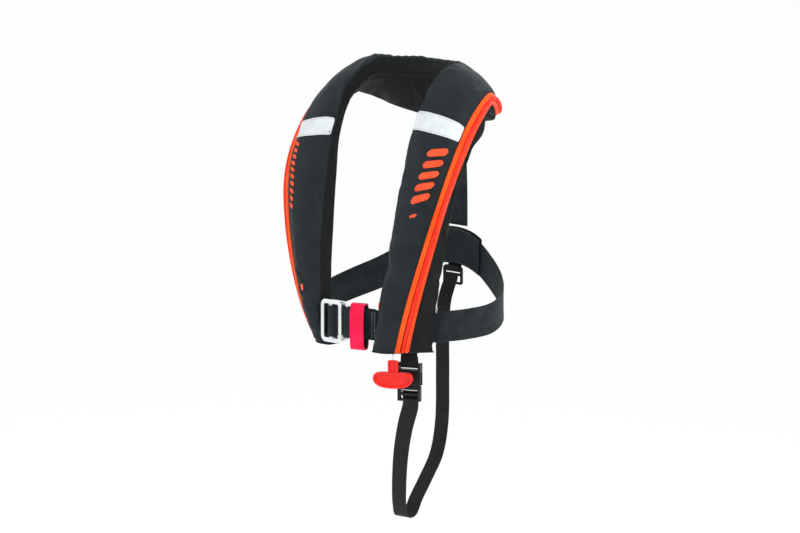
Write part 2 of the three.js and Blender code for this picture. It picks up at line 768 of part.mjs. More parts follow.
function liftingLoop() {
  const stations = [9.75, 9.5, 9.25];
  const back = stations.map((station) => insideRight(station, 16, 7).toArray());
  const front = stations.map((station) => insideRight(station, 16, 12).toArray()).reverse();
  const tip = insideRight(9.15, 15, 9.5).toArray();
  const geometry = band([...back, tip, ...front], () => V(0.9, -0.4, 0), 19, 1.6, 18);
  add('lifting_loop', geometry, COLORS.grey, 0.8);
}
liftingLoop();

// ---- back yoke -----------------------------------------------------------------------------

function backPieces() {
  const down = [[0, 95, -83], [0, 100, -110], [0, 103, -150], [0, 104, -190], [0, 104.2, -226]];
  add('centre_back_webbing', band(down, () => V(1, 0, 0), BACK_WIDE, 2), COLORS.black, 0.8);
  for (const [name, lift] of [['yoke_outer_panel', 3.2], ['yoke_inner_panel', -3.2]]) {
    const route = [];
    for (let k = -6; k <= 6; k += 1) {
      const x = k * 9;
      const y = 99 - 0.0021 * x * x + lift;
      route.push([x, y, -255 - 0.0042 * x * x]);
    }
    add(name, band(route, upright, 54, 1.5), COLORS.fabric, 0.85);
  }
  add('rear_drop_webbing', band(
    [[0, 99.8, -279.5], [0, 99.7, -284], [0, 98.6, -290], [0, 97.2, -293.4],
      [0, 94, -293.4], [0, 92.4, -290], [0, 92.6, -284.4]],
    () => V(1, 0, 0), CROTCH_WIDE, 1.2), COLORS.black, 0.8);
}
backPieces();

function rearAdjuster() {
  const shape = roundedRect(36, 26, 3);
  window(shape, 0, 6, 28, 5, 1);
  window(shape, 0, -5, 28, 9, 1);
  const mesh = add('rear_adjuster', plate(shape, 3), COLORS.black, 0.5);
  mesh.position.set(0, 95.6, -299.5);
}
rearAdjuster();

// ---- crotch strap --------------------------------------------------------------------------

const clip = new THREE.Group();
clip.position.set(...CROTCH_BUCKLE_AT);
clip.rotation.z = THREE.MathUtils.degToRad(CROTCH_BUCKLE_TURN);
root.add(clip);

// Webbing looped over the waist belt behind the left lobe, carrying the upper buckle half.
function crotchStub() {
  const points = [
    [0, 3.6, 14], [0, 4.6, 28], [0, 5.4, 48], [0, 5.4, 74], [0, 4, 76.6], [0, 0.2, 76.6],
    [0, -1.4, 74], [0, -1.4, 48], [0, -1.4, 28], [0, -2, 12], [0, -3.4, -1], [0, -2.4, -6],
    [0, 2.4, -6], [0, 3.4, -1], [0, 1.2, 10],
  ];
  const geometry = band(points, () => V(1, 0, 0), CROTCH_WIDE, 1.4);
  add('crotch_stub_webbing', geometry, COLORS.black, 0.8, 0, clip);
}

function socketHalf() {
  const shell2 = box(36, 11, 33, 0, 0, -16.5);
  const slot = box(28, 20, 6, 0, 0, -6.6);
  const cavity = box(30, 6.6, 24, 0, 0, -24);
  const sides = box(44, 5.6, 20, 0, 0, -24.1);
  const front = box(28, 4.4, 8, 0, -4, -2);
  const back = box(28, 4.4, 8, 0, 4, -2);
  const geometry = cut(shell2, slot, cavity, sides, front, back);
  add('crotch_buckle_socket', geometry, COLORS.black, 0.5, 0, clip);
}

function plugHalf() {
  const base = box(34, 9, 22, 0, 0, -45);
  const guide = box(7, 4.4, 20, 0, 0, -25);
  const upper = box(27, 14, 5, 0, 0, -41.5);
  const lower = box(27, 14, 5, 0, 0, -50);
  const hollow = box(27, 5, 20, 0, 4.5, -47);
  const geometry = cut(join(base, guide), upper, lower, hollow);
  add('crotch_buckle_plug', geometry, COLORS.black, 0.5, 0, clip);
}

function prong(name, side) {
  const outline = [
    V2(9.5, -33.6), V2(13.6, -33.6), V2(14, -27), V2(17, -23), V2(17.4, -18.4), V2(13.5, -13),
    V2(11.5, -13), V2(12, -20), V2(10.5, -27),
  ].map((p) => V2(p.x * side, p.y));
  const shape = new THREE.Shape(side > 0 ? outline : outline.reverse());
  add(name, plate(shape, 4.6), COLORS.black, 0.5, 0, clip);
}
crotchStub();
socketHalf();
plugHalf();
prong('crotch_prong_left', 1);
prong('crotch_prong_right', -1);

function crotchWebbing() {
  const turn = THREE.MathUtils.degToRad(CROTCH_BUCKLE_TURN);
  const at = (x, y, z) => V(x, y, z).applyMatrix4(
    new THREE.Matrix4().makeRotationZ(turn).setPosition(...CROTCH_BUCKLE_AT)).toArray();
  const points = [
    at(0, -1.5, -41.2), at(0, 2.6, -42.2), at(0, 4.3, -45.5), at(0, 4.9, -54),
    [70.5, -85.2, -455], [52, -75, -490], [33, -62, -535],
    [16, -46, -588], [6, -33, -622], [0, -20, -640], [0, -4, -640], [0, 12, -618],
    [0, 34, -592], [0, 58, -560], [0, 70, -515], [0, 72, -440], [0, 72, -370], [0, 76, -335],
    [0, 84.5, -315], [0, 90.6, -304], [0, 91.8, -297.5],
  ];
  const width = (k) => {
    const share = THREE.MathUtils.clamp(1 - k / 8, 0, 1);
    return V(Math.cos(turn * share), Math.sin(turn * share), 0);
  };
  add('crotch_webbing', band(points, width, CROTCH_WIDE, 1.4, 54), COLORS.black, 0.8);
}
crotchWebbing();

// ---- small trim ----------------------------------------------------------------------------

function zipSlider() {
  const s = SECTIONS[STATIONS / 2];
  const out = s.out.clone().addScaledVector(s.across, 0.6).normalize();
  const at = place(s, s.zip).addScaledVector(out, COIL_R + 2.6);
  const group = new THREE.Group();
  group.position.copy(at);
  group.quaternion.setFromUnitVectors(V(0, 0, 1), out);
  root.add(group);
  add('zip_slider', join(box(11, 8, 2.4, 0, 0, 0), box(3, 3, 2.4, -3, 0, 1.8)),
    COLORS.metal, 0.35, 0.9, group);
  const tab = cut(box(14, 4.4, 1.2, 4.4, 0, 4.6), box(3, 2, 4, 8.4, 0, 4.6));
  add('zip_pull_tab', tab, COLORS.metal, 0.35, 0.9, group);
}
zipSlider();

function tab(name, t, column, lift, long, color, lineOf = frontLine) {
  const at = (i, j, height) => {
    const a = coverPoint(t + (i * long) / 2, column, height, lineOf);
    const b = coverPoint(t + (i * long) / 2, column + 1, height, lineOf);
    return a.lerp(b, j ? 0.75 : 0.45);
  };
  add(name, slab(2, 1, (i, j) => at(i, j, lift + 1), (i, j) => at(i, j, lift)), color, 0.7);
}
tab('orange_tab_left', along(8.35, 1), 0, 0.5, 0.006, COLORS.orange);
tab('orange_tab_right', along(8.2, -1), 2, 0.5, -0.006, COLORS.orange);
tab('white_tab_left', along(8.5, 1), 1, 0.5, 0.008, COLORS.white, bodyLine);

export default root;
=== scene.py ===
import math

import bmesh
import bpy
import numpy as np
from mathutils import Matrix, Vector


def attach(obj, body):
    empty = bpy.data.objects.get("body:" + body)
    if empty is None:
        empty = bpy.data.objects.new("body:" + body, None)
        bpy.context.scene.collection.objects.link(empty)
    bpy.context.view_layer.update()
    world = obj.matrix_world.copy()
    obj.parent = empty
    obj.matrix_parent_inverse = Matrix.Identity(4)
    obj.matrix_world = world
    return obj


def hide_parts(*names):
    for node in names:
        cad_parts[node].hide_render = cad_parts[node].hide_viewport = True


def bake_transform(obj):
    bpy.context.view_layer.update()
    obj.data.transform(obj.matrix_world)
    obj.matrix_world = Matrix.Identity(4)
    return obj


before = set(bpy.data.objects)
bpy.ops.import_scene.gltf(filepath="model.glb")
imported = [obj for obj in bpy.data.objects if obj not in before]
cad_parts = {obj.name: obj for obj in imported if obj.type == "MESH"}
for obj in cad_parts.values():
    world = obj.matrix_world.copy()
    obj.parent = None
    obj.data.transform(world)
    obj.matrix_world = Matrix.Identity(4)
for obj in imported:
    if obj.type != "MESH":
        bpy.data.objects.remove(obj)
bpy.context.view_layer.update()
scene = bpy.context.scene
MM = 0.001


# ---- Camera and studio ----------------------------------------------------------------------
# A plain white room: a long lens at the wearer's front left, a soft key light high on that
# side, weaker lights at the left, front right and back, and an even white surround.

camera_azimuth = math.radians(40)
camera_elevation = math.radians(11)
camera_distance = 12.0
toward_camera = Vector((
    math.sin(camera_azimuth) * math.cos(camera_elevation),
    -math.cos(camera_azimuth) * math.cos(camera_elevation),
    math.sin(camera_elevation)))
camera_right = Vector((math.cos(camera_azimuth), math.sin(camera_azimuth), 0))
camera_up = toward_camera.cross(camera_right)
jacket_middle = Vector((0, 0, -0.25))
shift_right, shift_up = 0.016, 0.0225
aim = jacket_middle - camera_right * shift_right - camera_up * shift_up
camera_data = bpy.data.cameras.new("studio_camera")
camera_data.sensor_width = 36
camera_data.lens = 372.4
camera = bpy.data.objects.new("studio_camera", camera_data)
scene.collection.objects.link(camera)
camera.location = aim + toward_camera * camera_distance
camera.rotation_euler = toward_camera.to_track_quat("Z", "Y").to_euler()
scene.camera = camera
scene.view_settings.view_transform = "Standard"


def srgb(code):
    """An sRGB hex colour as linear RGBA."""
    parts = [int(code[k:k + 2], 16) / 255 for k in (1, 3, 5)]
    return tuple(p / 12.92 if p <= 0.04045 else ((p + 0.055) / 1.055) ** 2.4
                 for p in parts) + (1,)


def add_node(material, kind, settings=None, **links):
    """Adds a node. settings are its properties and plain inputs; links are input=(node, output)."""
    node = material.node_tree.nodes.new(kind)
    for key, value in (settings or {}).items():
        if isinstance(key, int) or key in node.inputs:
            node.inputs[key].default_value = value
        else:
            setattr(node, key, value)
    for key, (source, output) in links.items():
        name = int(key[1:]) if key[0] == "_" else key.replace("_", " ")
        target = node.inputs[name]
        material.node_tree.links.new(source.outputs[output], target)
    return node


def new_material(name):
    """An empty material with its output node, and that node."""
    material = bpy.data.materials.new(name)
    material.use_nodes = True
    material.node_tree.nodes.clear()
    return material, add_node(material, "ShaderNodeOutputMaterial")


def set_ramp(ramp, *stops):
    """Sets a colour ramp's stops, each (position, sRGB hex)."""
    elements = ramp.color_ramp.elements
    while len(elements) < len(stops):
        elements.new(0.5)
    for element, (position, code) in zip(elements, stops):
        element.position = position
        element.color = srgb(code)


# Matt painted board: plain white with no gloss, so that it stays out of the way.
paper, paper_out = new_material("matt_white_studio_floor")
paper_noise = add_node(paper, "ShaderNodeTexNoise", {"Scale": 3.0, "Detail": 2.0})
paper_ramp = add_node(paper, "ShaderNodeValToRGB", Fac=(paper_noise, "Fac"))
set_ramp(paper_ramp, (0.3, "#F4F5F5"), (0.7, "#F8F9F9"))
paper_shader = add_node(paper, "ShaderNodeBsdfPrincipled", {"Roughness": 0.9},
                        Base_Color=(paper_ramp, "Color"))
paper.node_tree.links.new(paper_shader.outputs[0], paper_out.inputs[0])

floor_half_width, floor_height = 12, -1.35
floor_mesh = bpy.data.meshes.new("studio_floor")
floor_bm = bmesh.new()
bmesh.ops.create_grid(floor_bm, x_segments=2, y_segments=2, size=floor_half_width)
floor_bm.to_mesh(floor_mesh)
floor_bm.free()
floor_mesh.materials.append(paper)
floor = bpy.data.objects.new("studio_floor", floor_mesh)
floor.location = (0, 0, floor_height)
scene.collection.objects.link(floor)

world = bpy.data.worlds.new("white_room")
scene.world = world
world.use_nodes = True
world.node_tree.nodes["Background"].inputs[0].default_value = srgb("#FFFFFF")
world.node_tree.nodes["Background"].inputs[1].default_value = 1.05

# Each light's azimuth in degrees, height, distance and size in metres, and power in watts.
for light_name, azimuth, height, distance, size, power in (
        ("key_softbox", 70, 1.6, 2.6, 1.0, 26), ("side_softbox", 110, 0.5, 2.4, 0.9, 8),
        ("fill_softbox", -35, 0.5, 2.8, 1.0, 5), ("back_softbox", 190, 1.2, 2.4, 1.0, 8)):
    light_data = bpy.data.lights.new(light_name, "AREA")
    light_data.shape = "DISK"
    light_data.size = size
    light_data.energy = power
    light = bpy.data.objects.new(light_name, light_data)
    angle = math.radians(azimuth)
    light.location = (math.sin(angle) * distance, -math.cos(angle) * distance, height)
    from_jacket = light.location - Vector((0, 0, -0.2))
    light.rotation_euler = from_jacket.to_track_quat("Z", "Y").to_euler()
    scene.collection.objects.link(light)


# ---- Fabric cover ---------------------------------------------------------------------------
# A horseshoe pouch of polyurethane-coated 500 denier nylon, cut as a front panel and a
# body-side panel, turned and top-stitched. It is stuffed with the folded bladder, so it is
# full and lightly creased, with its long outer edge left open for the zip.

# The four edges in mm, from the middle of the back to the left lobe's end.
body_inner = [(0, 50, 4), (32, 44, 3), (54, 28, 2), (66, 2, 4), (76, -38, -22), (74, -70, -74),
              (68, -86, -134), (62, -100, -205), (56, -112, -280), (48, -117, -335),
              (38, -116, -372)]
front_inner = [(0, 68, 26), (33, 60, 27), (54, 36, 28), (64, 0, 30), (70, -52, 0),
               (68, -90, -66), (65, -110, -130), (62, -127, -205), (57, -138, -280),
               (50, -142, -335), (40, -136, -372)]
zip_edge = [(0, 108, -58), (56, 105, -56), (101, 79, -43), (134, 24, -14), (149, -36, -42),
            (154, -78, -92), (150, -103, -145), (136, -118, -208), (115, -125, -280),
            (96, -123, -335), (80, -116, -372)]
body_outer = [(0, 90, -74), (52, 86, -70), (93, 64, -56), (127, 22, -34), (148, -18, -62),
              (152, -52, -98), (147, -76, -145), (140, -87, -208), (129, -89, -280),
              (117, -86, -335), (111, -80, -372)]
crown_height = 9 * MM
zip_half = 9.5 * MM


def catmull(points, samples):
    """Centripetal Catmull-Rom through the points, sampled evenly by point number."""
    pts = np.asarray(points, float)
    first = 2 * pts[0] - pts[1]
    last = 2 * pts[-1] - pts[-2]
    ext = np.vstack([first, pts, last])
    result = []
    for s in samples:
        k = min(int(s), len(pts) - 2)
        w = s - k
        p = ext[k:k + 4]
        d = [max(np.linalg.norm(p[i + 1] - p[i]), 1e-9) ** 0.5 for i in range(3)]
        t1 = (p[1] - p[0]) / d[0] - (p[2] - p[0]) / (d[0] + d[1]) + (p[2] - p[1]) / d[1]
        t2 = (p[2] - p[1]) / d[1] - (p[3] - p[1]) / (d[1] + d[2]) + (p[3] - p[2]) / d[2]
        t1, t2 = t1 * d[1], t2 * d[1]
        result.append((2 * w ** 3 - 3 * w ** 2 + 1) * p[1] + (w ** 3 - 2 * w ** 2 + w) * t1
                      + (-2 * w ** 3 + 3 * w ** 2) * p[2] + (w ** 3 - w ** 2) * t2)
    return np.array(result)


def mirrored(half):
    """A rail's points from the right lobe's end round the neck to the left lobe's end."""
    half = np.array(half, float) * MM
    return np.vstack([half[:0:-1] * (-1, 1, 1), half])


rows = 321
last_point = 2 * (len(body_inner) - 1)
samples = np.linspace(0, last_point, rows)
inner_rail, front_rail, zip_rail, outer_rail = (
    catmull(mirrored(half), samples) for half in (body_inner, front_inner, zip_edge, body_outer))


def unit(v):
    """Vectors along the last axis, each made one long."""
    return v / np.maximum(np.linalg.norm(v, axis=-1, keepdims=True), 1e-12)


across = unit(outer_rail - inner_rail)
span = np.linalg.norm(outer_rail - inner_rail, axis=1)
lift = (front_rail - inner_rail) + (zip_rail - inner_rail)
lift = unit(lift - across * np.sum(lift * across, axis=1, keepdims=True))


def flat(points):
    """Points of the rails in each section's own plane."""
    d = points - inner_rail
    return np.stack([np.sum(d * across, axis=1), np.sum(d * lift, axis=1)], axis=1)


front_2d, zip_2d = flat(front_rail), flat(zip_rail)


def section_outline(i):
    """The closed outline of section i, from the inner seam over the front to the zip and back."""
    f, z, w = front_2d[i], zip_2d[i], span[i]
    chord = z - f
    length = np.linalg.norm(chord)
    n = np.array([-chord[1], chord[0]]) / length
    start = 1 - zip_half / length
    side = [f * v for v in (0.0, 0.18, 0.36, 0.54, 0.7, 0.84)]
    corner = [f * 0.95 + chord * 0.012 + n * crown_height * 0.05]
    us = [0.035, 0.07, 0.11, 0.16] + list(np.linspace(0.22, start - 0.04, 13)) + [start]
    face = [f + chord * u + n * crown_height * math.sin(math.pi * u) for u in us]
    down = np.array([w, 0]) - z
    deep = np.linalg.norm(down)
    down = down / deep
    ridge = [z + n * 0.0004]
    gusset = [z + down * d for d in
              [zip_half] + list(np.linspace(zip_half + 0.004, deep - 0.005, 7))]
    turn = [np.array([w - 0.0012, 0.0012])]
    body = [np.array([w * v, 0.0])
            for v in (0.93, 0.84, 0.74, 0.63, 0.52, 0.41, 0.3, 0.2, 0.1, 0.04)]
    return side + corner + face + ridge + gusset + turn + body, len(side) + 1 + len(face) - 1


outline_rows = []
for i in range(rows):
    points, zip_start = section_outline(i)
    outline_rows.append(inner_rail[i] + np.outer([p[0] for p in points], across[i])
                        + np.outer([p[1] for p in points], lift[i]))
cover = np.array(outline_rows)
cols = cover.shape[1]
zip_end = zip_start + 2


def mesh_object(name, mesh, sharp=None):
    """A smooth-shaded object of a mesh; edges bent by more than sharp degrees stay hard."""
    mesh.update()
    mesh.polygons.foreach_set("use_smooth", [True] * len(mesh.polygons))
    if sharp:
        mesh.set_sharp_from_angle(angle=math.radians(sharp))
    obj = bpy.data.objects.new(name, mesh)
    scene.collection.objects.link(obj)
    return obj


def grid_mesh(name, grid, wrap=False, uv=None):
    """A mesh through a grid of points; uv is a grid of (u, v) in metres."""
    r, c = grid.shape[:2]
    faces = []
    for i in range(r - 1):
        for j in range(c if wrap else c - 1):
            k = (j + 1) % c
            faces.append((i * c + j, (i + 1) * c + j, (i + 1) * c + k, i * c + k))
    mesh = bpy.data.meshes.new(name)
    mesh.from_pydata(grid.reshape(-1, 3).tolist(), [], faces)
    if uv is not None:
        layer = mesh.uv_layers.new(name="cloth")
        flat_uv = uv.reshape(-1, 2)
        for loop in mesh.loops:
            layer.data[loop.index].uv = flat_uv[loop.vertex_index]
    return mesh_object(name, mesh)


def metre_uv(grid):
    """Distances along the rows and the columns of a grid, in metres."""
    along = np.concatenate([[0], np.cumsum(np.linalg.norm(
        np.diff(grid.mean(axis=1), axis=0), axis=1))])
    side = np.concatenate([np.zeros((grid.shape[0], 1)), np.cumsum(np.linalg.norm(
        np.diff(grid, axis=1), axis=2), axis=1)], axis=1)
    return np.stack([side, np.repeat(along[:, None], grid.shape[1], axis=1)], axis=2)


def settle_cloth(name, grid, pinned, pressure, slack, frames, cap):
    """Runs Blender's cloth on a closed tube of fabric and returns where its points settle."""
    obj = grid_mesh(name, grid, wrap=True)
    group = obj.vertex_groups.new(name="sewn")
    for index, weight in enumerate(pinned.reshape(-1)):
        if weight > 0:
            group.add([index], float(weight), "REPLACE")
    cloth = obj.modifiers.new("cloth", "CLOTH")
    cloth.settings.quality = 5
    cloth.settings.mass = 0.25
    cloth.settings.tension_stiffness = 20
    cloth.settings.compression_stiffness = 12
    cloth.settings.shear_stiffness = 8
    cloth.settings.bending_stiffness = 0.25
    cloth.settings.air_damping = 4
    cloth.settings.vertex_group_mass = "sewn"
    cloth.settings.use_pressure = True
    cloth.settings.uniform_pressure_force = pressure
    cloth.settings.shrink_min = slack
    cloth.settings.effector_weights.gravity = 0
    cloth.collision_settings.use_collision = False
    cloth.point_cache.frame_end = frames
    for number in range(1, frames + 1):
        scene.frame_set(number)
    shaped = obj.evaluated_get(bpy.context.evaluated_depsgraph_get()).to_mesh()
    settled = np.array([v.co for v in shaped.vertices]).reshape(grid.shape)
    obj.evaluated_get(bpy.context.evaluated_depsgraph_get()).to_mesh_clear()
    scene.frame_set(1)
    bpy.data.objects.remove(obj)
    move = settled - grid
    size = np.maximum(np.linalg.norm(move, axis=2, keepdims=True), 1e-12)
    return grid + move * np.minimum(1, cap / size)


sewn = np.zeros((rows, cols))
sewn[:3, :] = 1
sewn[-3:, :] = 1
sewn[:, 0] = 1
sewn[:, zip_start:zip_end + 1] = 1
sewn[:, 1] = sewn[:, -1] = 0.3
cover = settle_cloth("cover_pattern", cover, sewn, pressure=1.6, slack=-0.035, frames=22,
                     cap=5 * MM)


def wave_noise(x, y, seed):
    """Soft repeatable noise from a few crossed waves, between about -1 and 1."""
    rng = np.random.default_rng(seed)
    total = 0
    for _ in range(7):
        fx, fy = rng.uniform(0.5, 2.2, 2) * rng.choice([-1, 1], 2)
        total = total + np.sin(x * fx + y * fy + rng.uniform(0, 6.28))
    return total / 3.2


def surface_normals(grid):
    """Outward normals of a tube-like grid, whose columns close round each section."""
    du = np.gradient(grid, axis=0)
    dv = np.roll(grid, -1, axis=1) - np.roll(grid, 1, axis=1)
    found = unit(np.cross(dv, du))
    outwards = grid - grid.mean(axis=1, keepdims=True)
    return found if np.sum(found * outwards) > 0 else -found


along_m = metre_uv(cover)[:, :, 1] * 1000
around_m = metre_uv(cover)[:, :, 0] * 1000
normals = surface_normals(cover)
free = 1 - np.clip(sewn, 0, 1)
middle_point = last_point / 2
station = np.abs(samples - middle_point)[:, None]
# Where the collar turns over the shoulder its inner edge is gathered into puckers. Elsewhere
# there are broad soft hollows, fine wrinkles, a few sharp creases, gathers along the stitching
# by the zip and diagonal folds above the lobes' ends. Heights are in mm.
puckers = np.exp(-((station - 2.2) / 1.6) ** 2) * np.exp(-((around_m - 18) / 16) ** 2)
broad = wave_noise(along_m / 26, around_m / 16, 3) * 0.55
fine = wave_noise(along_m / 7, around_m / 14, 5) * 0.16
crease = np.maximum(0, wave_noise(along_m / 12, around_m / 22, 11) - 0.55) * -0.9
ruck = np.sin(along_m / 2.6 + 2 * wave_noise(along_m / 20, around_m / 9, 8)) * 1.1 * puckers
beside_zip = around_m - around_m[:, zip_start:zip_start + 1]
gathers = -0.9 * np.exp(-((beside_zip + 5) / 2.6) ** 2) * (0.5 + 0.5 * np.sin(along_m / 1.15))
low_folds = (np.exp(-((station - 9.6) / 0.5) ** 2) * 1.3
             * np.sin(around_m / 6.5 + 1.5 * wave_noise(along_m / 18, around_m / 30, 21)))
cover = cover + normals * ((broad + fine + crease + ruck + gathers + low_folds)
                           * free * MM)[:, :, None]


def woven(name, stops, pitch, rough, sheen):
    """Plain woven cloth: crossed threads in colour, height and roughness, with soft clouding."""
    made, output = new_material(name)
    uv = add_node(made, "ShaderNodeUVMap", {"uv_map": "cloth"})
    # A wave texture repeats every 0.314 / scale metres.
    threads = [add_node(made, "ShaderNodeTexWave", {
        "bands_direction": way, "Scale": 0.314 / (pitch * MM), "Distortion": 0.5},
        Vector=(uv, "UV")) for way in "XY"]
    weave = add_node(made, "ShaderNodeMath", {"operation": "MULTIPLY"},
                     _0=(threads[0], "Fac"), _1=(threads[1], "Fac"))
    cloud = add_node(made, "ShaderNodeTexNoise", {"Scale": 16.0, "Detail": 6.0,
                                                  "Roughness": 0.62}, Vector=(uv, "UV"))
    blend = add_node(made, "ShaderNodeMath", {"operation": "MULTIPLY_ADD", 1: 0.3},
                     _0=(weave, "Value"), _2=(cloud, "Fac"))
    colour = add_node(made, "ShaderNodeValToRGB", Fac=(blend, "Value"))
    set_ramp(colour, *zip((0.36, 0.6, 0.9), stops))
    bump = add_node(made, "ShaderNodeBump", {"Strength": 0.4, "Distance": 0.0004},
                    Height=(weave, "Value"))
    gloss = add_node(made, "ShaderNodeMapRange", {"To Min": rough - 0.08, "To Max": rough + 0.08},
                     Value=(cloud, "Fac"))
    shader = add_node(made, "ShaderNodeBsdfPrincipled", {
        "IOR": 1.5, "Specular IOR Level": 0.2, "Sheen Weight": sheen / 6,
        "Sheen Roughness": 0.4},
        Base_Color=(colour, "Color"), Roughness=(gloss, "Result"), Normal=(bump, "Normal"))
    made.node_tree.links.new(shader.outputs[0], output.inputs[0])
    return made


# Polyurethane-coated nylon: matt, with a faint plain weave. Threads are 0.5 mm apart and are
# drawn 1.4 mm apart so that they show.
coated_nylon = woven("coated_nylon_charcoal", ("#10181B", "#182125", "#232D32"), 1.4, 0.62, 0.12)
# Black lining nylon, also used as painted shade on the inner wall of the front cloth.
lining_nylon_and_painted_shade = woven("black_lining_nylon_and_painted_shade", ("#060809", "#0B0E0F", "#141819"), 1.4, 0.7, 0.08)


def finish_piece(obj, material, node=None, body="jacket", subdivide=0):
    """Gives a piece its material and its body, and hides the CAD node that it stands for."""
    if material is not None:
        obj.data.materials.append(material)
    if subdivide:
        smooth = obj.modifiers.new("smooth", "SUBSURF")
        smooth.levels = smooth.render_levels = subdivide
    if body:
        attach(obj, body)
    if node:
        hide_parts(node)
    return obj


def cloth_piece(name, grid, material, thick, node=None, subdivide=1, body="jacket"):
    """A panel of cloth through a grid of points, thickened inwards."""
    obj = grid_mesh(name, grid, uv=metre_uv(grid))
    solid = obj.modifiers.new("cloth thickness", "SOLIDIFY")
    solid.thickness = thick
    solid.offset = -1
    return finish_piece(obj, material, node, body, subdivide)


cover_thick = 1.2 * MM
front_cloth = cloth_piece("cover_front_cloth", cover[:, :zip_start + 1], coated_nylon,
                          cover_thick, "outer_cover")
# The wall at the lobe's inner edge is given the black lining cloth as painted shade: the black
# stands in for the shade that falls on that wall.
front_cloth.data.materials.append(lining_nylon_and_painted_shade)
for number, polygon in enumerate(front_cloth.data.polygons):
    if number % zip_start < 5:
        polygon.material_index = 1
body_grid = np.concatenate([cover[:, zip_end:], cover[:, :1]], axis=1)
body_cloth = cloth_piece("cover_body_cloth", body_grid, lining_nylon_and_painted_shade, cover_thick,
                         "body_cover")


# ---- Lower end panels -----------------------------------------------------------------------
# The lobes' ends are closed by small panels of the same black cloth, sewn in with a rolled
# hem. The pull cord comes out beside the left one.

def face_outwards(mesh):
    """Turns all faces of a closed mesh outwards."""
    bm = bmesh.new()
    bm.from_mesh(mesh)
    bmesh.ops.recalc_face_normals(bm, faces=bm.faces)
    bm.to_mesh(mesh)
    bm.free()


def ring_sweep(name, centres, rings, material, node=None, body="jacket", closed=False):
    """A tube through rings of offsets about centres; its ends are closed by flat faces."""
    points = centres[:, None, :] + rings
    count, around = points.shape[:2]
    obj_faces = []
    for i in range(count if closed else count - 1):
        for j in range(around):
            a, b, k = i * around, ((i + 1) % count) * around, (j + 1) % around
            obj_faces.append((a + j, b + j, b + k, a + k))
    if not closed:
        obj_faces.append(tuple(range(around)))
        obj_faces.append(tuple((count - 1) * around + j for j in range(around - 1, -1, -1)))
    mesh = bpy.data.meshes.new(name)
    mesh.from_pydata(points.reshape(-1, 3).tolist(), [], obj_faces)
    face_outwards(mesh)
    length = np.concatenate([[0], np.cumsum(np.linalg.norm(np.diff(centres, axis=0), axis=1))])
    width = np.concatenate([[0], np.cumsum(np.linalg.norm(
        np.diff(points[0], axis=0), axis=1))])
    layer = mesh.uv_layers.new(name="cloth")
    for loop in mesh.loops:
        i, j = divmod(loop.vertex_index, around)
        layer.data[loop.index].uv = (width[j], length[i])
    return finish_piece(mesh_object(name, mesh, sharp=50), material, node, body)


def cross_frames(line, hint):
    """Across and outward directions along a line, across being near the hint."""
    tangent = unit(np.gradient(line, axis=0))
    hint = np.broadcast_to(np.asarray(hint, float), line.shape)
    side = unit(hint - tangent * np.sum(hint * tangent, axis=1, keepdims=True))
    return side, unit(np.cross(side, tangent))


def round_tube(name, line, radius, material, node=None, body="jacket", closed=False, sides=10):
    """A round tube along a line; radius is one number or one for each point."""
    side, out = cross_frames(line, (0.31, 0.17, 0.93))
    if closed:
        tangent = unit(np.roll(line, -1, axis=0) - np.roll(line, 1, axis=0))
        side = unit(np.cross(tangent, (0.31, 0.17, 0.93)))
        out = unit(np.cross(side, tangent))
    turn = np.linspace(0, 2 * math.pi, sides, endpoint=False)
    size = np.broadcast_to(radius, len(line))[:, None, None]
    rings = size * (np.cos(turn)[None, :, None] * side[:, None, :]
                    + np.sin(turn)[None, :, None] * out[:, None, :])
    return ring_sweep(name, line, rings, material, node, body, closed)


for side_name, row in (("left", -1), ("right", 0)):
    rim = cover[row].copy()
    inward = unit(cover[row + (-4 if row else 4)].mean(axis=0) - rim.mean(axis=0))
    middle = rim.mean(axis=0) + inward * 2.5 * MM
    shares = np.linspace(0, 1, 7)
    count = len(rim)
    swirl = np.sin(np.arange(count) * 1.9)[:, None] * inward * 0.7 * MM
    rings = np.array([rim * (1 - s) + middle * s + swirl * math.sin(math.pi * s)
                      + inward * 2.0 * MM * math.sin(math.pi * min(1, s * 2)) for s in shares])
    rings = np.concatenate([rings, rings[:, :1]], axis=1)
    cloth_piece(f"{side_name}_end_cloth", rings, lining_nylon_and_painted_shade, 0.9 * MM,
                f"{side_name}_end_panel")
    round_tube(f"{side_name}_end_hem", rim, 1.1 * MM, coated_nylon, closed=True, sides=8)


# ---- Folded bladder -------------------------------------------------------------------------
# The buoyancy bladder is yellow polyurethane-coated cloth. It is folded lengthwise in a
# zigzag of six layers, so that it fills the cover above the gas cylinder.

# Polyurethane-coated cloth: strong yellow with a soft gloss.
bladder_cloth = woven("polyurethane_coated_cloth_yellow", ("#D9B70E", "#EBC91B", "#F4DA3E"),
                      1.4, 0.42, 0.0)
bladder_rings = []
bladder_from, bladder_to = 0.07, 0.80  # shares of the cover's length, from the right end
bladder_layers = 6
bladder_rows = range(int(rows * bladder_from), int(rows * bladder_to), 4)
for i in bladder_rows:
    f, z = front_2d[i], zip_2d[i]
    left = z[0] * (0.42 if i < 0.27 * rows else 0.2)
    right = z[0] * 0.86
    top = min(f[1], z[1]) + crown_height * 0.35 - 6 * MM
    bottom = 5 * MM
    zigzag = []
    for k in range(bladder_layers + 1):
        y = bottom + (top - bottom) * k / bladder_layers
        near, far = (left, right) if k % 2 == 0 else (right, left)
        zigzag += [(near, y), ((near + far) / 2, y + 0.5 * MM * (-1) ** k), (far, y)]
    zigzag = np.array(zigzag)
    bladder_rings.append(inner_rail[i] + zigzag[:, :1] * across[i] + zigzag[:, 1:] * lift[i])
bladder = cloth_piece("folded_bladder", np.array(bladder_rings), bladder_cloth, 0.8 * MM,
                      "bladder_pack", 1)


# ---- Zip ------------------------------------------------------------------------------------
# A burst zip in orange: polyester tape sewn to each panel, folded into two soft ridges beside
# the nylon coil, which runs up the lobe's outer edge and round the neck.

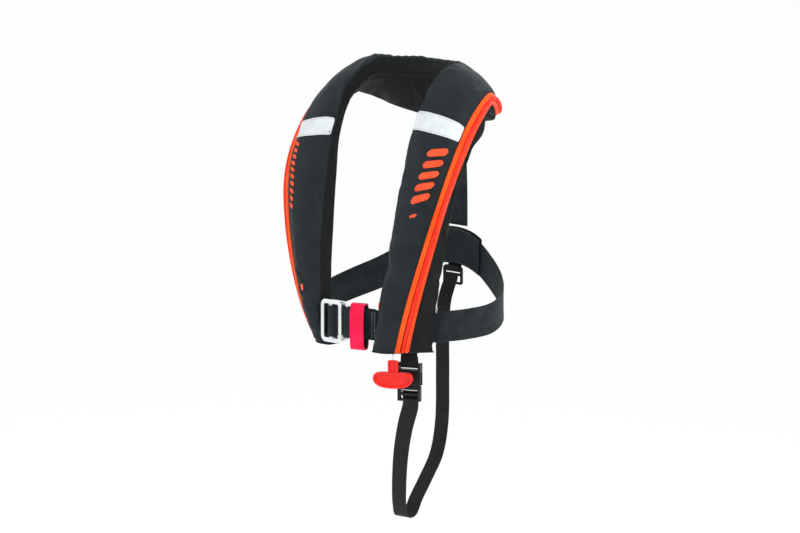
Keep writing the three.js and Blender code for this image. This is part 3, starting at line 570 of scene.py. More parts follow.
# Dyed polyester tape: bright, flat orange, the body-side one a little redder.
zip_tape = woven("polyester_zip_tape_orange", ("#F2480C", "#FF5C16", "#FF6E24"), 1.6, 0.5, 0.1)
zip_tape_rear = woven("polyester_zip_tape_deep_orange", ("#EC3408", "#FA4413", "#FF561E"), 1.6,
                      0.5, 0.1)


def moulded(name, stops, rough, grain=900.0, bump_height=0.00008, coat=0.0):
    """Moulded plastic: a fine spark-eroded grain, with slightly uneven gloss."""
    made, output = new_material(name)
    place = add_node(made, "ShaderNodeTexCoord")
    fine_noise = add_node(made, "ShaderNodeTexNoise", {"Scale": grain, "Detail": 2.0},
                          Vector=(place, "Object"))
    cloud = add_node(made, "ShaderNodeTexNoise", {"Scale": 60.0, "Detail": 4.0},
                     Vector=(place, "Object"))
    colour = add_node(made, "ShaderNodeValToRGB", Fac=(cloud, "Fac"))
    set_ramp(colour, *zip((0.3, 0.7), stops))
    gloss = add_node(made, "ShaderNodeMapRange", {"To Min": rough - 0.07, "To Max": rough + 0.09},
                     Value=(cloud, "Fac"))
    bump = add_node(made, "ShaderNodeBump", {"Strength": 0.35, "Distance": bump_height},
                    Height=(fine_noise, "Fac"))
    shader = add_node(made, "ShaderNodeBsdfPrincipled", {
        "IOR": 1.49, "Specular IOR Level": 0.35, "Coat Weight": coat},
        Base_Color=(colour, "Color"), Roughness=(gloss, "Result"), Normal=(bump, "Normal"))
    made.node_tree.links.new(shader.outputs[0], output.inputs[0])
    return made


# Dyed nylon monofilament: deep red-orange with a soft shine on each tooth.
coil_nylon = moulded("nylon_zip_coil_red_orange", ("#E81C02", "#F62C08"), 0.38)


def ridge_strip(edge, ridge, outward_from, distances, heights):
    """A strip between two lines: distances in mm from the edge towards the ridge, with heights."""
    way = unit(ridge - edge)
    along_way = unit(np.gradient(edge, axis=0))
    out = unit(np.cross(along_way, way))
    flip = np.sign(np.sum(out * (edge - outward_from), axis=1, keepdims=True))
    out = out * np.where(flip == 0, 1, flip)
    return np.stack([edge + way * d * MM + out * h * MM
                     for d, h in zip(distances, heights)], axis=1)


face_edge, ridge_line, gusset_edge = (cover[:, zip_start + k] for k in (0, 1, 2))
heart = cover.mean(axis=1)
front_strip = ridge_strip(face_edge, ridge_line, heart,
                          (-0.8, 0.0, 0.5, 1.2, 2.0, 2.8, 3.3, 3.6, 3.9, 4.6, 5.4, 6.2, 6.8, 7.2),
                          (-0.4, 0.4, 1.0, 1.5, 1.6, 1.2, 0.7, 0.5, 0.7, 1.4, 1.7, 1.5, 1.0, 0.3))
cloth_piece("zip_front_tape", front_strip, zip_tape, 0.8 * MM, "front_zip_tape")
rear_strip = ridge_strip(gusset_edge, ridge_line, heart,
                         (-0.8, 0.0, 0.7, 1.6, 2.6, 3.6, 4.6, 5.6, 6.4, 6.9),
                         (-0.4, 0.4, 0.9, 1.3, 1.4, 1.3, 1.4, 1.5, 1.1, 0.3))
cloth_piece("zip_rear_tape", rear_strip[:, ::-1], zip_tape_rear, 0.8 * MM, "rear_zip_tape")


def resampled(line, step, *others):
    """The line and others resampled evenly by the line's length."""
    long = np.concatenate([[0], np.cumsum(np.linalg.norm(np.diff(line, axis=0), axis=1))])
    at = np.linspace(0, long[-1], int(round(long[-1] / step)) + 1)
    return [at] + [np.stack([np.interp(at, long, a[:, k]) for k in range(3)], axis=1)
                   for a in (line,) + others]


tooth_pitch = 2.6 * MM
coil_at, coil_line, coil_face, coil_gusset = resampled(
    ridge_line, tooth_pitch / 6, face_edge, gusset_edge)
to_face, to_gusset = unit(coil_face - coil_line), unit(coil_gusset - coil_line)
coil_out = -unit(to_face + to_gusset)
coil_side = unit(to_gusset - to_face)
coil_turn = np.radians((-160, -120, -85, -60, -40, -22, -8, 8, 22, 40, 60, 85, 120, 160))
phase = np.sign(coil_turn) * math.pi / 2
teeth = 0.32 * np.sin(2 * math.pi * coil_at[:, None] / tooth_pitch + phase[None, :])
coil_size = (2.7 - 0.95 * np.exp(-(coil_turn / 0.24) ** 2))[None, :] + teeth
coil_size = coil_size[:, :, None] * MM
coil_rings = coil_size * (np.cos(coil_turn)[None, :, None] * coil_out[:, None, :]
                          + np.sin(coil_turn)[None, :, None] * coil_side[:, None, :])
ring_sweep("zip_coil_teeth", coil_line, coil_rings, coil_nylon, "zip_coil")


# ---- Reflective tape ------------------------------------------------------------------------
# A 25 mm strip of glass-bead reflective tape on a grey cloth backing crosses each lobe below
# the shoulder. It is sewn down along its edges and its end beside the zip.

def on_cover(station_number, side, share, lift_mm=0.0):
    """A point of the front cloth: station from the back, +1 side left, share from the inner
    edge to the zip; and the cloth's outward normal there."""
    row = (middle_point + side * station_number) / last_point * (rows - 1)
    i = min(max(int(row), 0), rows - 2)
    t = row - i
    found = []
    for k in (i, i + 1):
        dist = around_m[k, face_from:zip_start + 1]
        want = dist[0] + (dist[-1] - dist[0]) * share
        found.append([[np.interp(want, dist, table[k, face_from:zip_start + 1, axis])
                       for axis in range(3)] for table in (cover, normals)])
    (p0, n0), (p1, n1) = np.array(found[0]), np.array(found[1])
    n = unit(n0 * (1 - t) + n1 * t)
    return p0 * (1 - t) + p1 * t + n * lift_mm * MM, n


# The front face starts at column 6; the distances and normals are those of the creased cloth.
face_from = 6
around_m = metre_uv(cover)[:, :, 0] * 1000
normals = surface_normals(cover)

# Glass beads in a grey binder: pale silver, brighter than the cloth from every side.
reflective, reflective_out = new_material("glass_bead_reflective_tape_silver")
reflective_uv = add_node(reflective, "ShaderNodeUVMap", {"uv_map": "cloth"})
# Beads are 0.05 mm across; they are drawn as cells of 1 mm so that they show as a fine sparkle.
reflective_beads = add_node(reflective, "ShaderNodeTexVoronoi", {"Scale": 1000.0},
                            Vector=(reflective_uv, "UV"))
reflective_cloud = add_node(reflective, "ShaderNodeTexNoise", {"Scale": 40.0, "Detail": 4.0},
                            Vector=(reflective_uv, "UV"))
reflective_mix = add_node(reflective, "ShaderNodeMath", {"operation": "MULTIPLY_ADD", 1: 0.3},
                          _0=(reflective_beads, "Distance"), _2=(reflective_cloud, "Fac"))
reflective_colour = add_node(reflective, "ShaderNodeValToRGB", Fac=(reflective_mix, "Value"))
set_ramp(reflective_colour, (0.35, "#C6CDD0"), (0.8, "#DDE3E5"))
reflective_bump = add_node(reflective, "ShaderNodeBump", {"Strength": 0.2, "Distance": 0.0002},
                           Height=(reflective_beads, "Distance"))
reflective_shader = add_node(reflective, "ShaderNodeBsdfPrincipled", {
    "IOR": 1.5, "Roughness": 0.42, "Metallic": 0.15},
    Base_Color=(reflective_colour, "Color"), Normal=(reflective_bump, "Normal"))
reflective.node_tree.links.new(reflective_shader.outputs[0], reflective_out.inputs[0])


def stitches(name, lines, material, long=2.6, gap=1.4, thick=0.55):
    """Rows of sewn stitches along lines of (points, normals), each a short thread."""
    verts, faces = [], []
    for points, outs in lines:
        points, outs = np.asarray(points), np.broadcast_to(outs, np.shape(points))
        at, line, out = resampled(points, 0.7 * MM, np.array(outs))
        total = at[-1]
        start = 0.5 * MM
        while start + long * MM < total:
            ends = [np.array([np.interp(d, at, a[:, k]) for k in range(3)])
                    for d in (start, start + long * MM) for a in (line, out)]
            p0, n0, p1, n1 = ends
            way, up = unit(p1 - p0), unit(n0 + n1)
            side = np.cross(way, up) * thick / 2 * MM
            mid = (p0 + p1) / 2 + up * thick * 0.35 * MM
            k = len(verts)
            verts += [p0, p1, mid + side, mid + up * thick / 2 * MM, mid - side,
                      mid - up * thick / 2 * MM]
            for a, b in ((2, 3), (3, 4), (4, 5), (5, 2)):
                faces += [(k, k + a, k + b), (k + 1, k + b, k + a)]
            start += (long + gap) * MM
    mesh = bpy.data.meshes.new(name)
    mesh.from_pydata([tuple(v) for v in verts], [], faces)
    face_outwards(mesh)
    return finish_piece(mesh_object(name, mesh), material)


# Bonded polyester thread: matt, with a fine twist that shows only as grain.
thread_grey = moulded("polyester_thread_grey", ("#8C9497", "#A3ABAE"), 0.6, 2000.0)
thread_black = moulded("polyester_thread_black", ("#15181A", "#22272A"), 0.6, 2000.0)
thread_white = moulded("polyester_thread_white", ("#D9DDDE", "#F0F2F2"), 0.6, 2000.0)
tape_shares = np.linspace(0.0, 0.985, 15)
tape_wide = 0.37  # of a station, which is 25 mm
for side_name, side in (("left", 1), ("right", -1)):
    def tape_start(s):
        """The tape's upper edge, in stations, at a share of the way to the zip."""
        return 4.42 - 0.18 * s if side > 0 else 4.76 - 0.06 * s

    tape_grid = np.array([[on_cover(tape_start(s) + r, side, s, 1.1)[0] for s in tape_shares]
                          for r in np.linspace(0, tape_wide, 5)])
    cloth_piece(f"reflective_strip_{side_name}", tape_grid if side > 0 else tape_grid[::-1],
                reflective, 0.4 * MM, f"reflective_tape_{side_name}")
    seam_lines = []
    for inset_station in (0.035, 0.335):
        seam = [on_cover(tape_start(s) + inset_station, side, s, 1.5) for s in tape_shares]
        seam_lines.append(([p for p, n in seam], [n for p, n in seam]))
    for s in (0.955, 0.915):
        seam = [on_cover(tape_start(s) + tape_wide * r, side, s, 1.5)
                for r in np.linspace(0, 1, 6)]
        seam_lines.append(([p for p, n in seam], [n for p, n in seam]))
    stitches(f"reflective_strip_stitching_{side_name}", seam_lines, thread_grey, thick=0.6)

seam_lines = []
for side in (1, -1):
    seam = [on_cover(s, side, 0.975, 0.5) for s in np.linspace(0.1, 9.8, 90)]
    seam_lines.append(([p for p, n in seam], [n for p, n in seam]))
stitches("zip_edge_stitching", seam_lines, thread_black, long=3.0, gap=1.2)


# ---- Printed marks --------------------------------------------------------------------------
# Plain orange bars are screen-printed on the lobes in thick ink: five short bars and a dash
# on the left lobe, and a row of small dashes on the right.

# Screen-printed ink: flat orange with the cloth's grain just showing.
print_ink = moulded("screen_print_ink_orange", ("#E2481E", "#EE5629"), 0.55, 1400.0)


def printed_bars(name, side, bars):
    """Bars of ink, each (station, share, half length in share, half width in stations, slant)."""
    lengthwise, crosswise = np.linspace(-1, 1, 11), np.linspace(-1, 1, 5)
    long, wide = len(lengthwise), len(crosswise)
    grids = []
    for at, share, half_long, half_wide, slant in bars:
        # The ends are rounded by narrowing the bar towards q = -1 and q = 1.
        grids.append(np.array([[on_cover(at + slant * q + r * half_wide * math.sqrt(
            max(0.05, 1 - abs(q) ** 8)), side, share + q * half_long, 0.3)[0]
            for q in lengthwise] for r in crosswise]))
    verts = np.concatenate([g.reshape(-1, 3) for g in grids])
    faces = []
    for n in range(len(grids)):
        for i in range(wide - 1):
            for j in range(long - 1):
                a = (n * wide + i) * long + j
                quad = (a, a + long, a + long + 1, a + 1)
                faces.append(quad if side > 0 else quad[::-1])
    mesh = bpy.data.meshes.new(name)
    mesh.from_pydata(verts.tolist(), [], faces)
    obj = mesh_object(name, mesh)
    solid = obj.modifiers.new("ink thickness", "SOLIDIFY")
    solid.thickness = 0.25 * MM
    solid.offset = 1
    return finish_piece(obj, print_ink)


printed_bars("printed_bars_left", 1, [
    (4.99 + 0.27 * k, 0.70 - 0.015 * k, 0.18, 0.085, -0.1) for k in range(5)]
    + [(6.44, 0.6, 0.07, 0.035, -0.03)])
printed_bars("printed_dashes_right", -1, [
    (5.25 + 0.15 * k, 0.74, 0.06, 0.045, -0.03) for k in range(10)])


# ---- Waist belt -----------------------------------------------------------------------------
# Two lengths of 45 mm herringbone polyester webbing, 1.8 mm thick, meet in the middle of the
# back. Each is hooked round a frame of the buckle and sewn back on itself.

def webbing(name, stops, pitch=2.4, rough=0.6, sheen=0.15):
    """Herringbone webbing. Real ribs are 1.2 mm apart; they are drawn 2.4 mm apart to show."""
    made, output = new_material(name)
    uv = add_node(made, "ShaderNodeUVMap", {"uv_map": "cloth"})
    parts = add_node(made, "ShaderNodeSeparateXYZ", Vector=(uv, "UV"))
    folded = add_node(made, "ShaderNodeMath", {"operation": "PINGPONG", 1: 0.0045},
                      _0=(parts, "X"))
    slope = add_node(made, "ShaderNodeMath", {"operation": "ADD"},
                     _0=(parts, "Y"), _1=(folded, "Value"))
    angle = add_node(made, "ShaderNodeMath", {"operation": "MULTIPLY",
                                              1: 2 * math.pi / (pitch * MM)}, _0=(slope, "Value"))
    ribs = add_node(made, "ShaderNodeMath", {"operation": "SINE"}, _0=(angle, "Value"))
    cloud = add_node(made, "ShaderNodeTexNoise", {"Scale": 50.0, "Detail": 5.0}, Vector=(uv, "UV"))
    blend = add_node(made, "ShaderNodeMath", {"operation": "MULTIPLY_ADD", 1: 0.16},
                     _0=(ribs, "Value"), _2=(cloud, "Fac"))
    colour = add_node(made, "ShaderNodeValToRGB", Fac=(blend, "Value"))
    set_ramp(colour, *zip((0.28, 0.5, 0.76), stops))
    bump = add_node(made, "ShaderNodeBump", {"Strength": 0.5, "Distance": 0.0004},
                    Height=(ribs, "Value"))
    gloss = add_node(made, "ShaderNodeMapRange", {"To Min": rough - 0.08, "To Max": rough + 0.08},
                     Value=(cloud, "Fac"))
    shader = add_node(made, "ShaderNodeBsdfPrincipled", {
        "IOR": 1.5, "Specular IOR Level": 0.2, "Sheen Weight": sheen / 6,
        "Sheen Roughness": 0.35},
        Base_Color=(colour, "Color"), Roughness=(gloss, "Result"), Normal=(bump, "Normal"))
    made.node_tree.links.new(shader.outputs[0], output.inputs[0])
    return made


# Dyed polyester webbing: charcoal or black with fine slanting ribs and a dull surface.
belt_webbing = webbing("polyester_webbing_charcoal", ("#0F1518", "#182024", "#262F34"))
strap_webbing = webbing("polyester_webbing_black", ("#070A0B", "#0E1214", "#191E21"))


def strap_line(points, step=2.5):
    """A smooth line through points in mm, resampled, and each sample's share of the points."""
    pts = np.asarray(points, float) * MM
    numbers = []
    for k in range(len(pts) - 1):
        pieces = max(2, int(np.linalg.norm(pts[k + 1] - pts[k]) / (step * MM)))
        numbers += list(k + np.arange(pieces) / pieces)
    numbers = np.array(numbers + [len(pts) - 1.0001])
    return catmull(pts, numbers), numbers


def strap(name, points, wide, thick, material, node=None, body="jacket", wide_way=(0, 0, 1),
          closed=False, step=2.5):
    """A flat woven strap with rounded edges along points in mm."""
    if closed:
        points = list(points) + [points[0]]
    line, numbers = strap_line(points, step)
    if closed:
        line, numbers = line[:-1], numbers[:-1]
    ways = np.array([wide_way(n) if callable(wide_way) else wide_way for n in numbers], float)
    if closed:
        tangent = unit(np.roll(line, -1, axis=0) - np.roll(line, 1, axis=0))
        side = unit(ways - tangent * np.sum(ways * tangent, axis=1, keepdims=True))
        out = np.cross(side, tangent)
    else:
        side, out = cross_frames(line, ways)
    half = wide / 2 * MM
    t = thick / 2 * MM
    face = np.array((-0.97, -0.9, -0.6, -0.2, 0.2, 0.6, 0.9, 0.97))
    section = ([(a * half, t * (1.12 if abs(a) > 0.85 else 1)) for a in face] + [(half, 0)]
               + [(a * half, -t * (1.12 if abs(a) > 0.85 else 1)) for a in face[::-1]]
               + [(-half, 0)])
    rings = np.stack([side * a + out * b for a, b in section], axis=1)
    obj = ring_sweep(name, line, rings, material, node, body, closed)
    u_of = [a for a, b in section]
    long = np.concatenate([[0], np.cumsum(np.linalg.norm(np.diff(line, axis=0), axis=1))])
    layer = obj.data.uv_layers["cloth"]
    for loop in obj.data.loops:
        i, j = divmod(loop.vertex_index, len(section))
        layer.data[loop.index].uv = (u_of[j] + 0.05, long[i])
    return obj


def arc_points(cx, cy, radius, start, end, steps, z):
    """Points on a level arc, in mm and degrees."""
    return [(cx + radius * math.cos(a), cy + radius * math.sin(a), z)
            for a in np.radians(np.linspace(start, end, steps + 1))]


belt_side = [(80, -88, -340), (112, -69, -337), (138, -40, -334), (150, 0, -330),
             (140, 38, -320), (112, 68, -304), (70, 88, -279), (30, 97, -259)]
buckle_z = -335
left_hook = ([(26, -112.4, buckle_z - 3), (10, -122, buckle_z - 1)]
             + arc_points(-7, -136, 4.9, 122, 305, 8, buckle_z)
             + [(12.5, -125, buckle_z - 1.5), (28, -114.6, buckle_z - 3.5), (45, -104.5, -341)])
left_belt_points = left_hook + belt_side + [(3, 99, -255)]
right_hook = ([(-46, -98.8, buckle_z - 5), (-37, -104, buckle_z - 4),
               (-31.2, -112, buckle_z - 3), (-27.6, -128, buckle_z - 1),
               (-25.2, -139, buckle_z)] + arc_points(-29.5, -143.5, 4.4, 0, -180, 8, buckle_z)
              + [(-34.2, -137, buckle_z), (-34.4, -113, buckle_z - 2),
                 (-40, -106.6, buckle_z - 4), (-50, -101.6, -341)])
right_belt_points = right_hook + [(-x, y, z) for x, y, z in belt_side] + [(-3, 99, -255)]
belt_wide, belt_thick = 45, 1.8
for side_name, belt_points in (("left", left_belt_points), ("right", right_belt_points)):
    strap(f"waist_belt_webbing_{side_name}", belt_points, belt_wide, belt_thick, belt_webbing,
          f"waist_belt_{side_name}")


def across_stitch(centre, out, half, zigzag, turns):
    """A zigzag bar of stitching up a strap, as lines of stitches."""
    up = np.array((0, 0, 1.0))
    level = unit(np.cross(out, up))
    points = [np.array(centre, float) * MM + up * (k / turns * 2 - 1) * half * MM
              + level * (zigzag * MM if k % 2 else -zigzag * MM) for k in range(turns + 1)]
    return [([a, b], [out, out]) for a, b in zip(points[:-1], points[1:])]


tack_out = np.cross(unit(np.array((28, -114.6, 0)) - np.array((12.5, -125, 0))), (0, 0, 1))
tack_at = np.array((24.5, -116.9, buckle_z - 3)) + tack_out * 1.1
stitches("belt_tack_stitching", across_stitch(tack_at, tack_out, 19, 0.9, 16)
         + across_stitch(tack_at + np.array((3.4, 2.3, 0)), tack_out, 19, 0.9, 16),
         thread_white, long=1.9, gap=0.2, thick=0.9)


# ---- Waist buckle ---------------------------------------------------------------------------
# Two flat stainless frames, 3 mm thick with rolled edges and a tumbled finish. The front one
# hangs on its middle bar in the right belt; the rear one is held in the left belt.

# Stainless steel, tumbled: bright white highlights, with a satin break-up in them.
steel, steel_out = new_material("tumbled_stainless_steel")
steel_place = add_node(steel, "ShaderNodeTexCoord")
# Tumbling leaves a satin surface with fine marks about 1 mm long.
steel_marks = add_node(steel, "ShaderNodeTexNoise", {"Scale": 700.0, "Detail": 4.0},
                       Vector=(steel_place, "Object"))
steel_cloud = add_node(steel, "ShaderNodeTexNoise", {"Scale": 70.0, "Detail": 3.0},
                       Vector=(steel_place, "Object"))
steel_colour = add_node(steel, "ShaderNodeValToRGB", Fac=(steel_cloud, "Fac"))
set_ramp(steel_colour, (0.3, "#DFE2E4"), (0.7, "#F1F3F4"))
steel_gloss = add_node(steel, "ShaderNodeMapRange", {"To Min": 0.26, "To Max": 0.42},
                       Value=(steel_marks, "Fac"))
steel_bump = add_node(steel, "ShaderNodeBump", {"Strength": 0.15, "Distance": 0.0001},
                      Height=(steel_marks, "Fac"))
steel_shader = add_node(steel, "ShaderNodeBsdfPrincipled", {"Metallic": 1.0},
                        Base_Color=(steel_colour, "Color"), Roughness=(steel_gloss, "Result"),
                        Normal=(steel_bump, "Normal"))
steel.node_tree.links.new(steel_shader.outputs[0], steel_out.inputs[0])


def rounded_rect(wide, high, radius, cx=0.0, cy=0.0):
    """The outline of a rectangle with round corners, in mm."""
    points = []
    for sx, sy, start in ((1, -1, -90), (1, 1, 0), (-1, 1, 90), (-1, -1, 180)):
        for a in np.radians(np.linspace(start, start + 90, 7)):
            points.append((cx + sx * (wide / 2 - radius) + radius * math.cos(a),
                           cy + sy * (high / 2 - radius) + radius * math.sin(a)))
    return points


def plate_mesh(outline, holes, thick, edge):
    """A flat plate with rounded edges, lying in XY, sizes in mm."""
    curve = bpy.data.curves.new("plate", "CURVE")
    curve.dimensions = "2D"
    curve.fill_mode = "BOTH"
    curve.extrude = (thick / 2 - edge) * MM
    curve.bevel_depth = edge * MM
    curve.bevel_resolution = 3
    curve.offset = -edge * MM
    for loop in [outline] + list(holes):
        spline = curve.splines.new("POLY")
        spline.points.add(len(loop) - 1)
        for point, (x, y) in zip(spline.points, loop):
            point.co = (x * MM, y * MM, 0, 1)
        spline.use_cyclic_u = True
    holder = bpy.data.objects.new("plate", curve)
    scene.collection.objects.link(holder)
    graph = bpy.context.evaluated_depsgraph_get()
    mesh = bpy.data.meshes.new_from_object(holder.evaluated_get(graph))
    bpy.data.objects.remove(holder)
    return mesh


def join_meshes(name, parts, material, node=None, body="jacket"):
    """Joins (mesh, matrix) pairs into one piece with merged points."""
    bm = bmesh.new()
    for mesh, matrix in parts:
        copy = mesh.copy()
        copy.transform(matrix)
        bm.from_mesh(copy)
        bpy.data.meshes.remove(copy)
    bmesh.ops.remove_doubles(bm, verts=bm.verts, dist=0.00001)
    bmesh.ops.recalc_face_normals(bm, faces=bm.faces)
    made = bpy.data.meshes.new(name)
    bm.to_mesh(made)
    bm.free()
    return finish_piece(mesh_object(name, made, sharp=40), material, node, body)


def standing(at, turn=0.0):
    """Stands a plate up facing the front, turned about Z by degrees, at a place in mm."""
    return (Matrix.Translation(Vector(at) * MM) @ Matrix.Rotation(math.radians(turn), 4, "Z")
            @ Matrix.Rotation(math.radians(90), 4, "X"))


frame_thick, frame_edge = 3, 1.1
front_frame = plate_mesh(rounded_rect(38.4, 63, 9),
                         [rounded_rect(11.4, 50, 2.5, x) for x in (-7.8, 7.8)],
                         frame_thick, frame_edge)
join_meshes("buckle_front_frame", [(front_frame, standing((-29.5, -143.5, -335)))], steel,
            "front_buckle_frame", "buckle_tongue")
rear_frame = plate_mesh(rounded_rect(38, 60, 9), [rounded_rect(26, 49, 3)],
                        frame_thick, frame_edge)
join_meshes("buckle_rear_frame", [(rear_frame, standing((-23, -136, -335)))], steel,
            "rear_buckle_frame")


# ---- Safety line loop -----------------------------------------------------------------------
# A closed loop of 22 mm crimson webbing with a dark webbing lining sewn inside it. It slides
# on the belt between the buckle and the left lobe.

# The same webbing in crimson, its lining in dark grey.
crimson_webbing = webbing("polyester_webbing_crimson", ("#E4003A", "#FA0A4C", "#FF2260"), 2.4,
                          0.5, 0.2)
lining_webbing = webbing("polyester_webbing_lining_grey", ("#12181B", "#1E262A", "#2C3539"))
loop_turn = math.radians(17)
loop_wide_way = (math.cos(loop_turn), math.sin(loop_turn), 0)
loop_deep_way = np.array((-math.sin(loop_turn), math.cos(loop_turn), 0))
loop_at = np.array((7.6, -125.0, -341.2))


def loop_points(deep, high):
    """A strap loop's middle line, a rectangle with soft corners."""
    found = []
    power = 0.42
    for a in np.radians(np.arange(0, 360, 10)):
        x, z = math.cos(a), math.sin(a)
        found.append(loop_at + loop_deep_way * (deep / 2) * math.copysign(abs(x) ** power, x)
                     + np.array((0, 0, high / 2 * math.copysign(abs(z) ** 0.62, z))))
    return found


strap("safety_loop_webbing", loop_points(19.8, 66.2), 22, 1.6, crimson_webbing,
      "safety_loop", "harness_loop", loop_wide_way, closed=True)
strap("safety_loop_lining_webbing", loop_points(16.2, 62.6), 21, 1.2, lining_webbing,
      "safety_loop_lining", "harness_loop", loop_wide_way, closed=True)


# ---- Back yoke and rear webbing -------------------------------------------------------------
# A 40 mm webbing runs down from the collar between the two faces of a nylon yoke that the
# waist belts pass through. Below it a 25 mm webbing loop holds the crotch strap's adjuster.

# Nylon pack cloth: dark, dull and flat.
yoke_nylon = woven("yoke_nylon_charcoal", ("#0F1518", "#172023", "#232C31"), 1.4, 0.6, 0.1)
strap("centre_back_strap", [(0, 90, -70), (0, 94, -80), (0, 100, -110), (0, 103, -150),
                            (0, 104, -190), (0, 104.2, -226)], 40, 2, belt_webbing,
      "centre_back_webbing", wide_way=(1, 0, 0))
for yoke_name, yoke_lift in (("outer", 3.2), ("inner", -3.2)):
    xs = np.linspace(-54, 54, 31)
    yoke_face = []
    for up in np.linspace(-27, 27, 13):
        y = 99 - 0.0021 * xs ** 2 + yoke_lift
        bow = 0.5 * np.sin(xs / 9 + up / 7) * (1 - (xs / 56) ** 2) * math.copysign(1, yoke_lift)
        yoke_face.append(np.stack([xs, y + bow, -255 - 0.0042 * xs ** 2 + up], axis=1) * MM)
    yoke_face = np.array(yoke_face)
    if yoke_lift < 0:
        yoke_face = yoke_face[::-1]
    yoke = grid_mesh(f"yoke_{yoke_name}_cloth", yoke_face, uv=metre_uv(yoke_face))
    yoke_solid = yoke.modifiers.new("cloth thickness", "SOLIDIFY")
    yoke_solid.thickness = 1.4 * MM
    yoke_solid.offset = 0
    finish_piece(yoke, yoke_nylon, f"yoke_{yoke_name}_panel", "jacket", 1)
    yoke_out = np.array((0, math.copysign(1, yoke_lift), 0))
    yoke_rows = []
    for row, inner in ((0, 1), (-1, -2)):
        seam = yoke_face[row] + unit(yoke_face[inner] - yoke_face[row]) * 2.5 * MM
        yoke_rows.append((seam + yoke_out * 0.9 * MM, np.tile(yoke_out, (len(seam), 1))))
    stitches(f"yoke_{yoke_name}_stitching", yoke_rows, thread_grey, thick=0.6)
strap("rear_drop_strap", [(0, 99.8, -279.5), (0, 99.7, -284), (0, 98.6, -290),
                          (0, 97.2, -293.4), (0, 94, -293.4), (0, 92.4, -290),
                          (0, 92.6, -284.4)], 25, 1.2, strap_webbing, "rear_drop_webbing",
      wide_way=(1, 0, 0), step=1.2)

# Moulded acetal: near black with a waxy half-gloss.
acetal = moulded("acetal_black", ("#07090A", "#0E1112"), 0.42)
adjuster_plate = plate_mesh(rounded_rect(36, 26, 3), [rounded_rect(28, 5, 1, 0, 6),
                                                     rounded_rect(28, 9, 1, 0, -5)], 3, 0.6)
join_meshes("strap_adjuster", [(adjuster_plate, standing((0, 95.6, -299.5)))], acetal,
            "rear_adjuster")


# ---- Crotch strap and buckle ----------------------------------------------------------------
# A 25 mm webbing loop over the waist belt carries the socket of a side-release buckle in
# black acetal. Its plug is on the 1.4 mm strap that passes between the legs.

crotch_wide, crotch_thick = 25, 1.4
clip_turn = math.radians(22)
clip_x, clip_y, clip_z = 74.5, -92.5, -391
clip_matrix = (Matrix.Translation(Vector((clip_x, clip_y, clip_z)) * MM)
               @ Matrix.Rotation(clip_turn, 4, "Z"))


def at_clip(*points):
    """Points of the clip's own frame, in mm, as points of the jacket's frame."""
    c, s = math.cos(clip_turn), math.sin(clip_turn)
    return [(clip_x + c * x - s * y, clip_y + s * x + c * y, clip_z + z) for x, y, z in points]


clip_across = (math.cos(clip_turn), math.sin(clip_turn), 0)
strap("crotch_stub_strap", at_clip(
    (0, 3.6, 14), (0, 4.6, 28), (0, 5.4, 48), (0, 5.4, 74), (0, 4, 76.6), (0, 0.2, 76.6),
    (0, -1.4, 74), (0, -1.4, 48), (0, -1.4, 28), (0, -2, 12), (0, -3.4, -1), (0, -2.4, -6),
    (0, 2.4, -6), (0, 3.4, -1), (0, 1.2, 10)), crotch_wide, crotch_thick, strap_webbing,
    "crotch_stub_webbing",
    wide_way=clip_across, step=1.5)


def rounded_block(wide, deep, high, cx, cy, cz, edge):
    """A block with rounded edges, sizes in mm."""
    bm = bmesh.new()
    bmesh.ops.create_cube(bm, size=1)
    for v in bm.verts:
        v.co = Vector((v.co.x * wide + cx, v.co.y * deep + cy, v.co.z * high + cz)) * MM
    if edge:
        bmesh.ops.bevel(bm, geom=bm.edges[:], offset=edge * MM, segments=2, profile=0.6,
                        affect="EDGES")
    made = bpy.data.meshes.new("block")
    bm.to_mesh(made)
    bm.free()
    return made


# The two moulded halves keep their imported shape, with softened edges.

def soften(node, material, width=0.5, angle=32):
    """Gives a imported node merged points, softened edges and a material."""
    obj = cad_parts[node]
    weld = obj.modifiers.new("weld", "WELD")
    weld.merge_threshold = 0.00001
    bevel = obj.modifiers.new("soft edges", "BEVEL")
    bevel.width = width * MM
    bevel.segments = 2
    bevel.limit_method = "ANGLE"
    bevel.angle_limit = math.radians(angle)
    for index in range(len(obj.material_slots)):
        obj.material_slots[index].material = material
    if not obj.material_slots:
        obj.data.materials.append(material)
    return obj


soften("crotch_buckle_socket", acetal, 0.8)
soften("crotch_buckle_plug", acetal, 0.6)
soften("crotch_prong_left", acetal, 0.4)
soften("crotch_prong_right", acetal, 0.4)
ladder = [(rounded_block(30, 1.2, 1.4, 0, -4.4, z, 0.4), clip_matrix)
          for z in (-37.2, -54.7)]
join_meshes("crotch_plug_ribs", ladder, acetal, None, "crotch_lower")
socket_ribs = [(rounded_block(30, 0.9, 1.3, 0, -5.5, z, 0.35), clip_matrix)
               for z in (-12.6, -15.2, -30.6)]
join_meshes("crotch_socket_ribs", socket_ribs, acetal)

crotch_points = at_clip((0, -1.5, -41.2), (0, 2.6, -42.2), (0, 4.3, -45.5), (0, 4.9, -54)) + [
    (70.5, -85.2, -455), (52, -75, -490), (33, -62, -535), (16, -46, -588), (6, -33, -622),
    (0, -20, -640), (0, -4, -640), (0, 12, -618), (0, 34, -592), (0, 58, -560), (0, 70, -515),
    (0, 72, -440), (0, 72, -370), (0, 76, -335), (0, 84.5, -315), (0, 90.6, -304),
    (0, 91.8, -297.5)]


def crotch_across(number):
    """The strap's width direction: with the buckle at the top, turning to the level."""
    share = min(1.0, max(0.0, 1 - number / 8))
    return math.cos(clip_turn * share), math.sin(clip_turn * share), 0


crotch_strap = strap("crotch_strap", crotch_points, crotch_wide, crotch_thick, strap_webbing,
                     "crotch_webbing", None, crotch_across)
